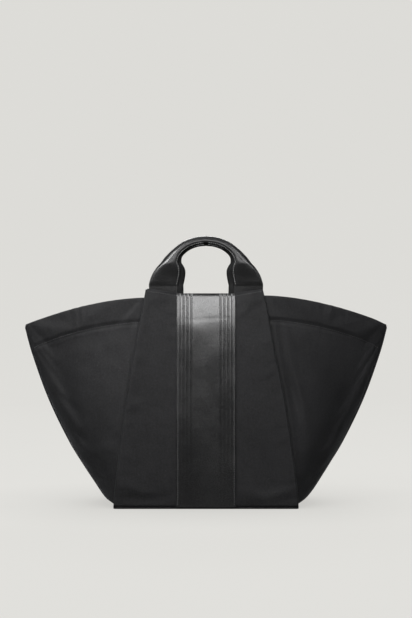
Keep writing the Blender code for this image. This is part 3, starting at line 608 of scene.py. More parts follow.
def wing_sheet(corner):
    """One piece of cloth, up the outside, round the rim and down the inside to the hem's stitches."""
    shares = [-1.0, -0.5] + [c / WING_COLUMNS for c in range(WING_COLUMNS + 1)]
    rims = [corner_rim(corner, max(s, 0)) for s in shares]

    def place(column, row):
        share, rim = shares[column], rims[column]
        edge = rim - ROLL
        if row <= BODY_ROWS:
            z, back = mix(FLOOR, rim - HEM, row / BODY_ROWS), 0.0
        elif row <= BODY_ROWS + HEM_ROWS:
            z, back = mix(rim - HEM, edge, (row - BODY_ROWS) / HEM_ROWS), 0.0
        elif row <= BODY_ROWS + HEM_ROWS + ROLL_ROWS:
            turn = math.pi * (row - BODY_ROWS - HEM_ROWS) / ROLL_ROWS
            z, back = edge + ROLL * math.sin(turn), ROLL - ROLL * math.cos(turn)
        else:
            down = (row - BODY_ROWS - HEM_ROWS - ROLL_ROWS) / FACING_ROWS
            z, back = mix(edge, rim - HEM + 0.0006, down), 2 * ROLL
        level = z if row <= BODY_ROWS + HEM_ROWS else min(z, edge)
        off = billow(corner, share, level, rim)
        return wing_point(share, z) + wing_normal(share, z) * (off - back)

    bm, _ = grid(len(shares) - 1, BODY_ROWS + HEM_ROWS + ROLL_ROWS + FACING_ROWS, place)
    return bm


def settle_wing(corner):
    """Let a wing's cloth sag between its seams; the hem is stiffer, so it is partly held."""
    columns, rows = 60, 64

    def place(column, row):
        share = column / columns
        rim = corner_rim(corner, share)
        z = mix(FLOOR, rim - ROLL, row / rows)
        return wing_point(share, z) + wing_normal(share, z) * billow(corner, share, z, rim)

    def hold(column, row):
        rim = corner_rim(corner, column / columns)
        z = mix(FLOOR, rim - ROLL, row / rows)
        if column < 3 or column > columns - 2 or row < 2:
            return 1.0
        return 0.15 if z > rim - HEM - 0.004 else 0.0

    settle(corner, columns, rows, place, hold, WING_SLACK, WING_CAP)


CORNERS = ("front_left", "front_right", "back_left", "back_right")
for corner in CORNERS:
    settle_wing(corner)
    piece(f"{corner}_wing_cloth", to_place(wing_sheet(corner), corner), NYLON,
          (f"{corner}_wing", f"{corner}_facing"), thickness=SHELL)

# %% [markdown]
# ## Lining
# The lining is a separate grey bag that hangs inside the shell and is sewn to the hems. It is shaped by the
# same curves, a cloth's thickness further in, and follows the slow waves of the wings.

# %% Lining
def lining_sheet(face):
    """One sheet from the left side seam across the middle to the right one."""
    shares = [1 - c / 40 for c in range(41)]
    columns, rows = 2 * len(shares) + 9, 60
    rims = {s: wing_rim(s) for s in shares}
    corner_rims = {(c, s): corner_rim(c, s) for c in (f"{face}_left", f"{face}_right") for s in shares}

    def place(column, row):
        if column < len(shares):
            share, side = shares[column], -1
        elif column > columns - len(shares):
            share, side = shares[columns - column], 1
        else:
            t = (column - len(shares) + 1) / (columns - 2 * len(shares) + 2)
            rim = rims[shares[-1]]
            z = mix(FLOOR, rim - HEM - 0.0015, row / rows)
            start = wing_start(z)
            sag = 0.0012 * grain_noise(t * 0.2, z, 31 if face == "front" else 37, 0.06)
            return Vector((mix(-start, start, t), LINING_DEPTH - 2 * GAP + max(sag, 0) - front_depth(z), z))
        corner = f"{face}_{'left' if side < 0 else 'right'}"
        rim = corner_rims[corner, share]
        z = mix(FLOOR, rim - HEM - 0.0015, row / rows)
        off = min(billow(corner, share, z, rim), 0) - CLOTH - GAP
        point = wing_point(share, z) + wing_normal(share, z) * off
        return Vector((side * point.x, point.y, point.z))

    bm, _ = grid(columns, rows, place)
    return bm


for face in ("front", "back"):
    piece(f"{face}_lining_cloth", to_place(lining_sheet(face), face), TWILL, (f"{face}_lining",),
          thickness=0.0006)

# %% [markdown]
# ## Centre panels
# The middle is a separate cloth panel laid over both wings. Its side edges are folded under as soft pleats,
# rolled rather than pressed, and they narrow towards the mouth. Its top edge is turned in and climbs from
# the band to two corners that lap over the handle ends.

# %% Centre panels
PANEL_SLACK, PANEL_CAP = 0.004, 0.0011
CURL_START, CURL = 0.226, 0.0036


def fold_shift(face, side, z):
    """How the real folds stray from the straight pattern, sideways."""
    top = (z / PANEL_CORNER) ** 2
    if face == "back":
        return 0.0007 * math.sin(z * 30 + side) * ramp(z, 0.02, 0.1)
    lean = 0.0030 * top * side if side < 0 else -0.0030 * top
    wobble = 0.0010 * math.sin(z * 46 + 1.2 * side) * ramp(z, 0.10, 0.18) if side > 0 else 0.0004 * math.sin(z * 27)
    return lean + wobble * ramp(z, 0.01, 0.05)


def panel_wave(face, x, z):
    """Outward swell of the panel between the band and the folds."""
    seed = 51 if face == "front" else 53
    free = ramp(abs(x), BAND_HALF, BAND_HALF + 0.018) * ramp(z, FLOOR, 0.03)
    wave = 0.0006 + 0.0008 * grain_noise(x, z * 0.5, seed, 0.045) + 0.0003 * grain_noise(x, z, seed + 2, 0.016)
    return free * wave + settled(face, x / fold_half(z) / 2 + 0.5, (z - FLOOR) / (PANEL_TOP - FLOOR))


def curl(x, z):
    """The mouth pulls the middle of the panel inwards near its top."""
    t = min(max((z - CURL_START) / (PANEL_TOP - CURL_START), 0), 1)
    return CURL * t * t * (1 - ramp(abs(x), BAND_HALF, BAND_HALF + 0.028))


def panel_sheet(face):
    """Flange, fold, face, fold and flange in one sheet; half() gives one side of it at a height."""
    turn = [math.pi * step / 12 for step in range(13)]
    rows, flats = 84, 12

    def half(z, side):
        roll = FOLD_DEPTH / 2
        corner = fold_half(z) - roll + fold_shift(face, side, z) * side
        flange = corner - FLANGE * min(z / WING_RIM + 0.5, 1)
        points = [(flange, FOLD_DEPTH), (mix(flange, corner, 0.5), FOLD_DEPTH)]
        points += [(corner + roll * math.sin(a), roll + roll * math.cos(a)) for a in turn]
        points += [(mix(corner, BAND_HALF, s / flats), 0) for s in range(1, flats)]
        return points + [(BAND_HALF * (1 - s / 4), 0) for s in range(4)]

    width = len(half(0, 1))

    def place(column, row):
        side = -1 if column < width else 1
        index = column if side < 0 else 2 * width - column
        if index == width:
            index, x_top = width - 1, 0
        x_top = half(PANEL_CORNER, side)[index][0]
        climb = (x_top - BAND_HALF) / (FOLD_TOP - FOLD_DEPTH / 2 - BAND_HALF)
        top = mix(PANEL_TOP, PANEL_CORNER, min(max(climb, 0), 1)) - SHELL
        z = mix(FLOOR, top, row / rows)
        x, depth = half(z, side)[index] if column != width else (0, 0)
        wave = panel_wave(face, side * x, z) - curl(x, z)
        return Vector((side * x, depth - front_depth(z) - wave, z))

    bm, _ = grid(2 * width, rows, place)
    return bm


def settle_panel(face):
    """Let the panel sag between the band and the folds."""
    columns, rows = 50, 64

    def place(column, row):
        z = mix(FLOOR, PANEL_TOP, row / rows)
        x = mix(-1, 1, column / columns) * fold_half(z)
        return Vector((x, curl(x, z) - front_depth(z) - panel_wave(face, x, z), z))

    def hold(column, row):
        z = mix(FLOOR, PANEL_TOP, row / rows)
        side = abs(mix(-1, 1, column / columns))
        if side * fold_half(z) < BAND_HALF + 0.002 or row < 2:
            return 1.0
        return 0.5 if row > rows - 3 or column < 2 or column > columns - 2 else 0.0

    settle(face, columns, rows, place, hold, PANEL_SLACK, PANEL_CAP)


for face in ("front", "back"):
    settle_panel(face)
    piece(f"{face}_panel_cloth", to_place(panel_sheet(face), face), NYLON, (f"{face}_centre_panel",),
          thickness=SHELL)

# %% [markdown]
# ## Top edge, centre facing, side seams and base
# The panel's top edge is turned over a narrow hem. Behind it a facing closes the top between the handle ends
# and carries the magnetic snap. The side seams are bound with a folded strip of the same nylon, and the base
# is one stiff panel with softly rounded edges under a covered board.

# %% Top edge and centre facing
def tube(columns, rows, place):
    """A grid whose first and last columns meet, welded into a tube; rows that shrink to a line close it."""
    bm, _ = grid(columns, rows, place)
    bmesh.ops.remove_doubles(bm, verts=bm.verts, dist=0.000002)
    bmesh.ops.recalc_face_normals(bm, faces=bm.faces)
    return bm


def top_height(x):
    """Height of the panel's top edge, which climbs from the band to the corners."""
    climb = (abs(x) - BAND_HALF) / (FOLD_TOP - FOLD_DEPTH / 2 - BAND_HALF)
    return mix(PANEL_TOP, PANEL_CORNER, min(max(climb, 0), 1))


def top_hem(face):
    """A narrow strip rolled over the panel's top edge."""
    left = -(FOLD_TOP - FOLD_DEPTH / 2 - fold_shift(face, -1, PANEL_CORNER))
    right = FOLD_TOP - FOLD_DEPTH / 2 + fold_shift(face, 1, PANEL_CORNER)

    def place(column, row):
        x = mix(left, right, column / 70)
        edge = top_height(x) - SHELL
        outer = -panel_wave(face, x, edge) + curl(x, edge)
        roll = 0.00095
        if row <= 6:
            turn = math.pi * row / 6
            z, depth = edge + roll * math.sin(turn), outer + roll - roll * math.cos(turn)
        else:
            z, depth = edge - 0.0105 * (row - 6) / 7, outer + 2 * roll
        return Vector((x, depth - front_depth(z), z))

    bm, _ = grid(70, 13, place)
    return bm


def centre_facing():
    """The cloth behind the top edge, which closes against the panel between the two handle ends."""
    half = FOLD_TOP - GAP - CLOTH
    low = WING_RIM - HEM

    def place(column, row):
        x = mix(-half, half, column / 60)
        z = mix(low, PANEL_TOP - 0.0004, row / 26)
        between_tabs = 1 - ramp(abs(x), TAB_CENTRE - TAB_HALF - 0.006, TAB_CENTRE - TAB_HALF)
        close = 0.0086 * ramp(z, PANEL_TOP - 0.0075, PANEL_TOP) * between_tabs
        wave = 0.0004 * grain_noise(x, z, 61, 0.03) * ramp(abs(x), 0.014, 0.03)
        return Vector((x, FACING_DEPTH - close + wave - front_depth(z), z))

    bm, _ = grid(60, 26, place)
    return bm


for face in ("front", "back"):
    for name, sheet, nodes in (("panel_top_hem", top_hem(face), ()),
                               ("facing_cloth", centre_facing(), (f"{face}_centre_facing",))):
        piece(f"{face}_{name}", to_place(sheet, face), NYLON_HEM, nodes, thickness=0.0009)


# %% Side seams
def power(value, exponent):
    return math.copysign(abs(value) ** exponent, value)


def side_seam():
    """A flat tube along the wings' joined edges, closed at the tip."""
    thick = SEAM_THICK * 0.6

    def place(column, row):
        z = mix(FLOOR, TIP_HEIGHT - 0.0002, row / 70)
        close = math.sqrt(max(1 - max((z - TIP_HEIGHT + 0.0012) / 0.0010, 0) ** 2, 0)) if row > 60 else 1.0
        slope = (side_half(z + 0.001) - side_half(max(z - 0.001, 0))) / (z + 0.001 - max(z - 0.001, 0))
        out = Vector((1, 0, -slope)).normalized()
        angle = 2 * math.pi * column / 18
        pucker = 1 + 0.10 * grain_noise(z, 0, 71, 0.007)
        centre = Vector((side_half(z), 0, z)) - out * thick
        return centre + Vector((0, SEAM_HALF * power(math.cos(angle), 0.75) * close, 0)) \
            + out * (thick * pucker * power(math.sin(angle), 0.85) * close)

    return tube(18, 70, place)


for side in ("left", "right"):
    piece(f"{side}_seam_binding", to_place(side_seam(), side), NYLON_HEM, (f"{side}_side_seam",))


# %% Base
def soft_box(low, high, corner, edge):
    """A block with rounded upright corners and rounded rims."""
    bm = bmesh.new()
    bmesh.ops.create_cube(bm, size=1)
    for vertex in bm.verts:
        vertex.co = Vector(mix(a, b, v + 0.5) for a, b, v in zip(low, high, vertex.co))
    upright = [e for e in bm.edges if abs(e.verts[0].co.z - e.verts[1].co.z) > (high[2] - low[2]) / 2]
    bmesh.ops.bevel(bm, geom=upright, offset=corner, segments=6, affect="EDGES", profile=0.5, material=-1)
    rims = [e for e in bm.edges if abs(e.verts[0].co.z - e.verts[1].co.z) < edge / 4
            and e.calc_length() > 0 and len(e.link_faces) == 2 and e.calc_face_angle(0) > 1]
    bmesh.ops.bevel(bm, geom=rims, offset=edge, segments=4, affect="EDGES", profile=0.5, material=-1)
    layer = bm.loops.layers.uv.new("cloth")
    for face in bm.faces:
        for loop in face.loops:
            loop[layer].uv = (loop.vert.co.x, loop.vert.co.y + loop.vert.co.z)
    return bm


low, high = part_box("base_panel")
piece("base_cloth", soft_box(low, high, 0.0040, 0.0008), NYLON_HEM, ("base_panel",), sharp=50)
low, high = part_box("base_lining")
piece("base_lining_cloth", soft_box(low, high, 0.012, 0.00038), TWILL, ("base_lining",), sharp=50)

# %% [markdown]
# ## Leather bands
# The ribbed strap down each panel is one strip of smooth leather. Four narrow grooves are pressed beside each
# edge, the edges are turned and stitched, and the strip takes the panel's lean. The face between the grooves
# carries raised words on the photographed bag. They are left off, and the leather is plain there.

# %% Leather bands
GROOVES = [0.0200 + 0.0053 * n for n in range(4)]
EDGE_STITCH, TOP_STITCH = 0.0021, 0.0032


def band_face(face, x, z):
    """Depth of the band's outer face below its flat: grooves, edge stitching, a crease and slow waves."""
    depth = sum(0.00050 * near(abs(x) - g, 0.00075) for g in GROOVES)
    depth += 0.00028 * near(abs(x) - BAND_HALF + EDGE_STITCH, 0.0007)
    depth += 0.00030 * near(z - PANEL_TOP + TOP_STITCH, 0.0008)
    crease = 0.2567 + 0.0012 * math.sin(x * 60)
    depth += 0.00008 * near(z - crease, 0.0020) * (1 - ramp(abs(x), 0.03, 0.04))
    return depth - 0.0003 * grain_noise(x, z, 81 if face == "front" else 83, 0.03)


def band(face):
    """One closed strip. Its outline runs from the back's middle round the left edge, the face and the right edge."""
    edge_round, end_round, rows = 0.0007, 0.0022, 130
    flat = BAND_HALF - edge_round
    turn = [(flat + edge_round * math.sin(a), (1 - math.cos(a)) / 2) for a in (math.pi * i / 8 for i in range(1, 8))]
    outline = [(mix(0, -flat, i / 4), 0.0) for i in range(5)] + [(-x, share) for x, share in turn] \
        + [(mix(-flat, flat, i / 110), 1.0) for i in range(111)] + turn[::-1] \
        + [(mix(flat, 0, i / 5), 0.0) for i in range(1, 6)]

    def place(column, row):
        z = mix(FLOOR, PANEL_TOP, row / rows)
        end = min(1, math.sqrt(max(1 - max((z - PANEL_TOP + end_round) / end_round, 0) ** 2, 0)))
        x, share = outline[column]
        face_depth = BAND_THICK * mix(0.5, share, end)
        press = band_face(face, x, z) * share * end
        depth = -GAP - face_depth + press + curl(x, z) - panel_wave(face, x, z)
        return Vector((x, depth - front_depth(z), z))

    return tube(len(outline) - 1, rows, place)


for face in ("front", "back"):
    piece(f"{face}_band_leather", to_place(band(face), face), LEATHER, (f"{face}_leather_band",))

# %% [markdown]
# ## Handles
# Each handle is leather folded round a cord. A narrow inner strip faces the hand, and a wider strip wraps
# round it from outside and is lapped and stitched on both faces. Towards its ends the tube opens into a flat
# tab, puffed at the shoulders, that runs down between the panel and its facing and is sewn there. Both
# strips are lofted along one arch.

# %% Handles
LEAN = (front_depth(HINGE - RISE) - front_depth(HINGE)) / RISE
TABLE = [(step / (len(HANDLE_SHARES) - 1), *row) for step, row in enumerate(HANDLE_SHARES)]


def handle_y(z):
    """The arch leans in line with the panel below it, and the sewn ends follow the panel itself."""
    return TAB_DEPTH - front_depth(min(z, HINGE)) + LEAN * max(z - HINGE, 0)


def station(t):
    """Centre, sideways direction, half width, half thickness and flare at -1..1; beyond that, the sewn ends."""
    drop = max(abs(t) - 1, 0)
    t = max(min(t, 1.0), -1.0)

    def middle(u):
        u = max(min(u, 1.0), -1.0)
        return Vector((math.copysign(1, u) * TAB_CENTRE * along(TABLE, abs(u), 1), 0,
                       HINGE + RISE * along(TABLE, abs(u), 2)))

    forward = (middle(t + 0.006) - middle(t - 0.006)).normalized()
    flare = min(along(TABLE, abs(t), 3), 1.0)
    outward = Vector((-forward.z, 0, forward.x * (1 - flare))).normalized()
    over = max(drop - TAB_SEWN + 0.006, 0)
    narrow = 0.006 - math.sqrt(max(0.006**2 - over**2, 0))
    width = GRIP + (TAB_HALF - GRIP) * flare - narrow
    thick = GRIP * along(TABLE, abs(t), 4) * mix(1, 0.55, ramp(drop, 0.0, 0.018))
    return middle(t) - Vector((0, 0, drop)), outward, width, thick, flare


def section(t, angle, lift):
    """A point of the section: angle 0 is its outer side, pi the hand's side; lift stands off the surface."""
    centre, outward, width, thick, flare = station(t)
    flat = ramp(flare, 0.25, 0.95)
    across, deep = math.cos(angle), math.sin(angle)
    puffed = 1 + 0.42 * ramp(flare, 0.15, 0.6) * (1 - ramp(abs(t), 0.86, 0.995)) * (0.4 + 0.6 * across)
    x = width * power(across, mix(1, 0.80, flat))
    y = thick * power(deep, mix(1, 0.66, flat)) * puffed
    out = Vector((across / width, deep / thick)).normalized() * (lift * mix(1, 0.3, ramp(abs(t), 0.99, 1.01)))
    wave = 0.00035 * grain_noise(centre.x + x, centre.z, 91, 0.016) * mix(0.5, 1, flat)
    point = centre + outward * (x + out.x)
    return Vector((point.x, handle_y(point.z) + y + out.y + wave * deep, point.z))


def loft(rings):
    """Bridge rings of points into one closed skin."""
    bm = bmesh.new()
    loops = []
    for corners in rings:
        made = [bm.verts.new(point) for point in corners]
        loops.append([bm.edges.new((a, b)) for a, b in zip(made, made[1:] + made[:1])])
    for low, high in zip(loops, loops[1:]):
        bmesh.ops.bridge_loops(bm, edges=low + high)
    for end in (loops[0], loops[-1]):
        bmesh.ops.edgenet_fill(bm, edges=end)
    bmesh.ops.recalc_face_normals(bm, faces=bm.faces)
    return bm


SPANS = sorted([t / 74 for t in range(-74, 75)]
               + [side * (1 + TAB_SEWN * step / 14) for side in (-1, 1) for step in range(1, 15)])


def lap_angle(t):
    """Where the wrap's edge lies, from the outer side: near the hand's side in the tab, at mid front in the grip."""
    _, _, width, _, flare = station(t)
    short = mix(0.62, 1 - 0.0064 / width, ramp(flare, 0.1, 0.75))
    return math.acos(-power(short, 1 / mix(1, 0.80, ramp(flare, 0.25, 0.95))))


def inner_strip():
    return loft([[section(t, 2 * math.pi * i / 40, -0.0005) for i in range(40)] for t in SPANS])


def wrap_strip():
    """The outer strip, from its lapped edge on one face round the outer side to the edge on the other."""
    def place(column, row):
        share = column / 44 * 2 - 1
        angle = lap_angle(SPANS[row]) * share
        edge = abs(share) ** 24
        stitch = near((1 - abs(share)) / 0.030 - 2.2, 1) * 0.0003
        return section(SPANS[row], -angle, 0.0006 - 0.0005 * edge - stitch)

    bm, _ = grid(44, len(SPANS) - 1, place)
    bmesh.ops.recalc_face_normals(bm, faces=bm.faces)
    if sum((f.normal.dot(f.calc_center_median() - Vector((0, handle_y(0.33), 0.33))) for f in bm.faces)) < 0:
        bmesh.ops.reverse_faces(bm, faces=bm.faces)
    return bm


def lap_path(side):
    """Stitch lines just inside the wrap's lapped edges, on both faces of the handle."""
    paths = []
    for face in (-1, 1):
        spans = [t for t in SPANS if 0.02 < t * side < 1.002]
        points = [section(t, face * (lap_angle(t) - 0.16), 0.00055) for t in spans]
        paths.append([(p, Vector((0, face, 0.12 * face)).normalized()) for p in points])
    return paths


def handle_cord():
    """Three-strand cord: a round section whose surface is laid in turning grooves."""
    rings, steps = [], 110
    for step in range(-steps, steps + 1):
        centre, outward, _, _, _ = station(step / steps * 0.47)
        points = []
        for corner in range(24):
            angle = 2 * math.pi * corner / 24
            radius = (GRIP - 0.0014 - 2 * GAP) * (1 - 0.10 * abs(math.cos(1.5 * (angle + step * 0.16))) ** 8)
            point = centre + outward * (radius * math.cos(angle))
            points.append(Vector((point.x, handle_y(point.z) + radius * math.sin(angle), point.z)))
        rings.append(points)
    return loft(rings)


def hinge_bend(face):
    """Two places on a handle's middle line, just below and just above the hinge."""
    y = (TAB_DEPTH - front_depth(HINGE)) * (1 if face == "front" else -1)
    return (0, y, HINGE - 0.0028), (0, y, HINGE + 0.0036)


for face in ("front", "back"):
    parts = [("wrap", wrap_strip(), HANDLE_LEATHER, (f"{face}_handle_leather",), 0.0011),
             ("inner_strip", inner_strip(), INNER_LEATHER_WITH_PAINTED_SHADE,
              (f"{face}_left_handle_tab", f"{face}_right_handle_tab"), None)]
    for name, bm, material, nodes, thickness in parts:
        made = piece(f"{face}_handle_{name}", to_place(bm, face), material, nodes, body=None,
                     thickness=thickness)
        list(hinge_bend(face))
        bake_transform(made)
    piece(f"{face}_handle_cord", to_place(handle_cord(), face), CORD, (f"{face}_handle_core",),
          body=f"{face}_handle")

# %% [markdown]
# ## Zipped pocket
# A flat pocket hangs on the back lining. Its cloth stands off a little and sags under the zip. A leather
# frame is sewn round the opening, and two ribbed tapes carry the teeth. The teeth, stops and slider are
# hard, so they keep the frame's meshes; the puller is a folded leather tab, so it is made new.

# %% Zipped pocket
ZIP_Z, ZIP_HALF, WINDOW, POCKET_HALF = 0.214, 0.064, 0.0060, 0.075
POCKET_LOW, POCKET_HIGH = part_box("zip_pocket_pouch")[0][2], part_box("zip_pocket_pouch")[1][2]
POCKET_BACK = LINING_DEPTH + LINING + GAP
POCKET_ROOM = 0.0058
TAPE_ROOM, TAPE_INNER, TAPE_OUTER = 0.0050, 0.0008, 0.0095
WELT_WIDTH, WELT_ROUND, WELT_EDGE, WELT_RISE = 0.006, 0.0066, 0.0008, 0.0005


def on_back(bm, depth):
    """Stand a flat mesh (x, height above the zip, stand-off) on the back wall at a depth."""
    slope = (front_depth(ZIP_Z - TAPE_OUTER) - front_depth(ZIP_Z + TAPE_OUTER)) / (2 * TAPE_OUTER)
    for vertex in bm.verts:
        x, up, off = vertex.co
        vertex.co = Vector((x, depth + off + slope * up - front_depth(ZIP_Z), ZIP_Z + up))
    bmesh.ops.recalc_face_normals(bm, faces=bm.faces)
    return flip(bm, 1)


def pocket_cloth():
    """The pocket's bag, with a window for the zip cut out of it."""
    def place(column, row):
        x, z = mix(-POCKET_HALF, POCKET_HALF, column / 60), mix(POCKET_LOW, POCKET_HIGH, row / 48)
        border = ramp(POCKET_HALF - abs(x), 0, 0.0024) * ramp(POCKET_HIGH - z, 0, 0.0035)
        border *= ramp(z - POCKET_LOW, 0, 0.03)
        belly = 0.0022 * math.sin(math.pi * min((z - POCKET_LOW) / 0.09, 1)) * math.cos(x / POCKET_HALF * 1.5)
        wave = 0.0007 * grain_noise(x, z, 101, 0.022) * (1 - ramp(z, ZIP_Z - 0.02, ZIP_Z - 0.012))
        return Vector((x, POCKET_BACK + (POCKET_ROOM + belly + wave) * border - front_depth(z), z))

    bm, _ = grid(60, 48, place)
    window = [f for f in bm.faces if abs(f.calc_center_median().x) < ZIP_HALF + 0.0035
              and abs(f.calc_center_median().z - ZIP_Z) < 0.0070]
    bmesh.ops.delete(bm, geom=window, context="FACES")
    bmesh.ops.reverse_faces(bm, faces=bm.faces)
    return flip(bm, 1)


def welt():
    """A leather frame: a flat sheet, inset twice, its middle taken out."""
    bm = bmesh.new()
    bmesh.ops.create_grid(bm, x_segments=1, y_segments=1, size=0.5)
    outer = (ZIP_HALF + WELT_WIDTH + 0.0024, WINDOW + WELT_WIDTH)
    for vertex in bm.verts:
        vertex.co = Vector((math.copysign(outer[0], vertex.co.x), math.copysign(outer[1], vertex.co.y), 0))
    bmesh.ops.bevel(bm, geom=list(bm.verts), offset=WELT_ROUND, segments=8, affect="VERTICES", profile=0.5,
                    material=-1)
    middle = list(bm.faces)
    for thickness, depth in ((WELT_EDGE, WELT_RISE), (WELT_WIDTH - 2 * WELT_EDGE, 0), (WELT_EDGE, -WELT_RISE)):
        bmesh.ops.inset_region(bm, faces=middle, thickness=thickness, depth=depth, use_even_offset=True,
                               use_boundary=True)
    bmesh.ops.delete(bm, geom=middle, context="FACES")
    return on_back(bm, POCKET_BACK + POCKET_ROOM + 0.0009)


def tape(side):
    """Half of the zip's tape, with a rib along every second thread."""
    def place(column, row):
        rib = 0.00010 * math.cos(math.pi * row)
        up = side * mix(TAPE_INNER, TAPE_OUTER, row / 14)
        return Vector((mix(-ZIP_HALF - 0.0048, ZIP_HALF + 0.0048, column / 30), up, rib))

    bm, _ = grid(30, 14, place)
    return on_back(bm, LINING_DEPTH + LINING + TAPE_ROOM)


def puller():
    """A leather tab on a loop of the same leather, turned round the slider's bail."""
    low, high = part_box("zip_puller")
    bail = Vector(((low[0] + high[0]) / 2, 0.04254, ZIP_Z))
    half, thick, top = 0.0034, 0.0008, 0.2105
    bm = soft_box((bail.x - half, bail.y - thick, low[2]), (bail.x + half, bail.y + thick, top), 0.0005, 0.0005)
    loop = bmesh.new()
    bmesh.ops.create_grid(loop, x_segments=8, y_segments=2, size=0.5)
    for vertex in loop.verts:
        vertex.co = Vector((bail.x + vertex.co.x * 0.0038, bail.y, bail.z + 0.0009 + (vertex.co.y + 0.5) * 0.0010))
    border = [e for e in loop.edges if e.is_boundary]
    bmesh.ops.delete(loop, geom=list(loop.faces), context="FACES_ONLY")
    bmesh.ops.delete(loop, geom=[e for e in loop.edges if e not in border], context="EDGES")
    bmesh.ops.spin(loop, geom=list(loop.verts) + list(loop.edges), cent=bail, axis=(1, 0, 0), dvec=(0, 0, 0),
                   angle=2 * math.pi, steps=20, use_merge=True, use_duplicate=False)
    bmesh.ops.remove_doubles(loop, verts=loop.verts, dist=0.00001)
    mesh = bpy.data.meshes.new("loop")
    loop.to_mesh(mesh)
    bm.from_mesh(mesh)
    bmesh.ops.recalc_face_normals(bm, faces=bm.faces)
    return bm


piece("zip_pocket_cloth", pocket_cloth(), TWILL, ("zip_pocket_pouch",), thickness=0.0006)
piece("zip_pocket_frame", welt(), LEATHER, ("zip_pocket_welt",), sharp=40)
for side, name in ((1, "upper"), (-1, "lower")):
    piece(f"zip_{name}_tape_cloth", tape(side), TAPE, (f"zip_tape_{name}",), thickness=0.0005)
piece("zip_puller_leather", puller(), HANDLE_LEATHER, ("zip_puller",), body="zip_puller", sharp=50)

# %% [markdown]
# ## Hard parts kept from the frame
# The snap halves, teeth, stops, slider and board are rigid, so their meshes stay as they are.

# %% Hard parts
for name in ("snap_socket", "snap_stud", "zip_teeth_upper", "zip_teeth_lower", "zip_stop_left", "zip_stop_right",
             "zip_slider", "base_board"):
    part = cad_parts[name]
    part.data.materials.clear()
    part.data.materials.append(BOARD if name == "base_board" else METAL)
    if name in ("snap_socket", "snap_stud", "zip_slider"):
        edges = part.modifiers.new("eased edges", "BEVEL")
        edges.width, edges.segments, edges.limit_method, edges.angle_limit = 0.00025, 2, "ANGLE", math.radians(40)
print("hard parts done")

# %% [markdown]
# ## Stitching
# Black thread holds the hems, the band, the top edge and the bindings; a lighter thread runs along the
# handles' lapped edges. The rows follow the same curves as the cloth, half sunk into it.

# %% Stitching
def wing_path(corner, drop, outside=True):
    """A line across a wing at a distance below its rim, up to the side seam."""
    path = []
    for step in range(61):
        share = 0.97 * step / 60
        rim = corner_rim(corner, share)
        z = rim - drop
        normal = wing_normal(share, z)
        point = wing_point(share, z) + normal * (billow(corner, share, z, rim) + 0.00004)
        if not outside:
            point, normal = point - normal * (2 * ROLL + 0.0001), -normal
        path.append((point, normal))
    return place_path(path, corner)


def place_path(path, place):
    """Carry a path made for the right front of the bag to its own face or corner."""
    turn = Vector((-1 if "left" in place else 1, -1 if "back" in place else 1, 1))
    return [(Vector(a * b for a, b in zip(p, turn)), Vector(a * b for a, b in zip(n, turn))) for p, n in path]


for corner in CORNERS:
    rows = [wing_path(corner, HEM), wing_path(corner, HEM - 0.0003, outside=False), wing_path(corner, 0.0026)]
    thread(f"{corner}_hem_stitches", rows, THREAD, 0.0032, 0.0025, 0.0007)


def on_face(face, points, normal=(0, -1, 0.1)):
    """Lay a path of (x, z, depth) on a face of the bag."""
    path = [(Vector((x, depth - front_depth(z), z)), Vector(normal).normalized()) for x, z, depth in points]
    return place_path(path, face)


def band_depth(face, x, z):
    """Depth of the band's face below the smooth front."""
    return curl(x, z) - panel_wave(face, x, z) - GAP - BAND_THICK + band_face(face, x, z)


for face in ("front", "back"):
    rows = [on_face(face, [(x, z, band_depth(face, x, z)) for z in np.linspace(0.005, PANEL_TOP - 0.0045, 90)])
            for x in (BAND_HALF - EDGE_STITCH, -BAND_HALF + EDGE_STITCH)]
    z = PANEL_TOP - TOP_STITCH
    rows.append(on_face(face, [(x, z, band_depth(face, x, z)) for x in np.linspace(-0.0365, 0.0365, 30)]))
    thread(f"{face}_band_stitches", rows, BAND_THREAD, 0.0031, 0.0023, 0.00085)
    rows = []
    for side in (-1, 1):
        xs = np.linspace(side * (BAND_HALF + 0.001), side * (FOLD_TOP - 0.004), 16)
        rows.append(on_face(face, [(x, top_height(x) - 0.0034, -panel_wave(face, x, 0.29) + curl(x, 0.29))
                                   for x in xs]))
    rows.append(on_face(face, [(x, 0.2535, FACING_DEPTH + 0.0001) for x in np.linspace(-0.076, 0.076, 40)],
                        (0, 1, -0.1)))
    thread(f"{face}_top_stitches", rows, THREAD, 0.0032, 0.0024, 0.0007)
    rows = [place_path(path, face) for side in (-1, 1) for path in lap_path(side)]
    seams = thread(f"{face}_handle_stitches", rows, PALE_THREAD, 0.0030, 0.0022, 0.0008, body=None)
    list(hinge_bend(face))
    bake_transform(seams)

rows = []
for side in (-1, 1):
    for y in (-0.0024, 0.0024):
        path = []
        for z in np.linspace(0.006, TIP_HEIGHT - 0.004, 80):
            slope = (side_half(z + 0.001) - side_half(z - 0.001)) / 0.002
            out = Vector((1, 0, -slope)).normalized()
            path.append((Vector((side_half(z), y, z)) - out * 0.00016, out))
        rows.append(place_path(path, "front_left" if side < 0 else "front_right"))
thread("side_seam_stitches", rows, THREAD, 0.0032, 0.0024, 0.0007)

rows = []
half_x, half_z = ZIP_HALF + 0.0055, WINDOW + 0.0033
for a, b in (((-1, -1), (1, -1)), ((1, -1), (1, 1)), ((1, 1), (-1, 1)), ((-1, 1), (-1, -1))):
    ends = [(mix(a[0], b[0], t) * half_x, ZIP_Z + mix(a[1], b[1], t) * half_z) for t in np.linspace(0, 1, 12)]
    rows.append(on_face("back", [(x, z, POCKET_BACK + POCKET_ROOM + 0.0014) for x, z in ends], (0, 1, -0.1)))
thread("zip_frame_stitches", rows, THREAD, 0.0030, 0.0022, 0.0006)
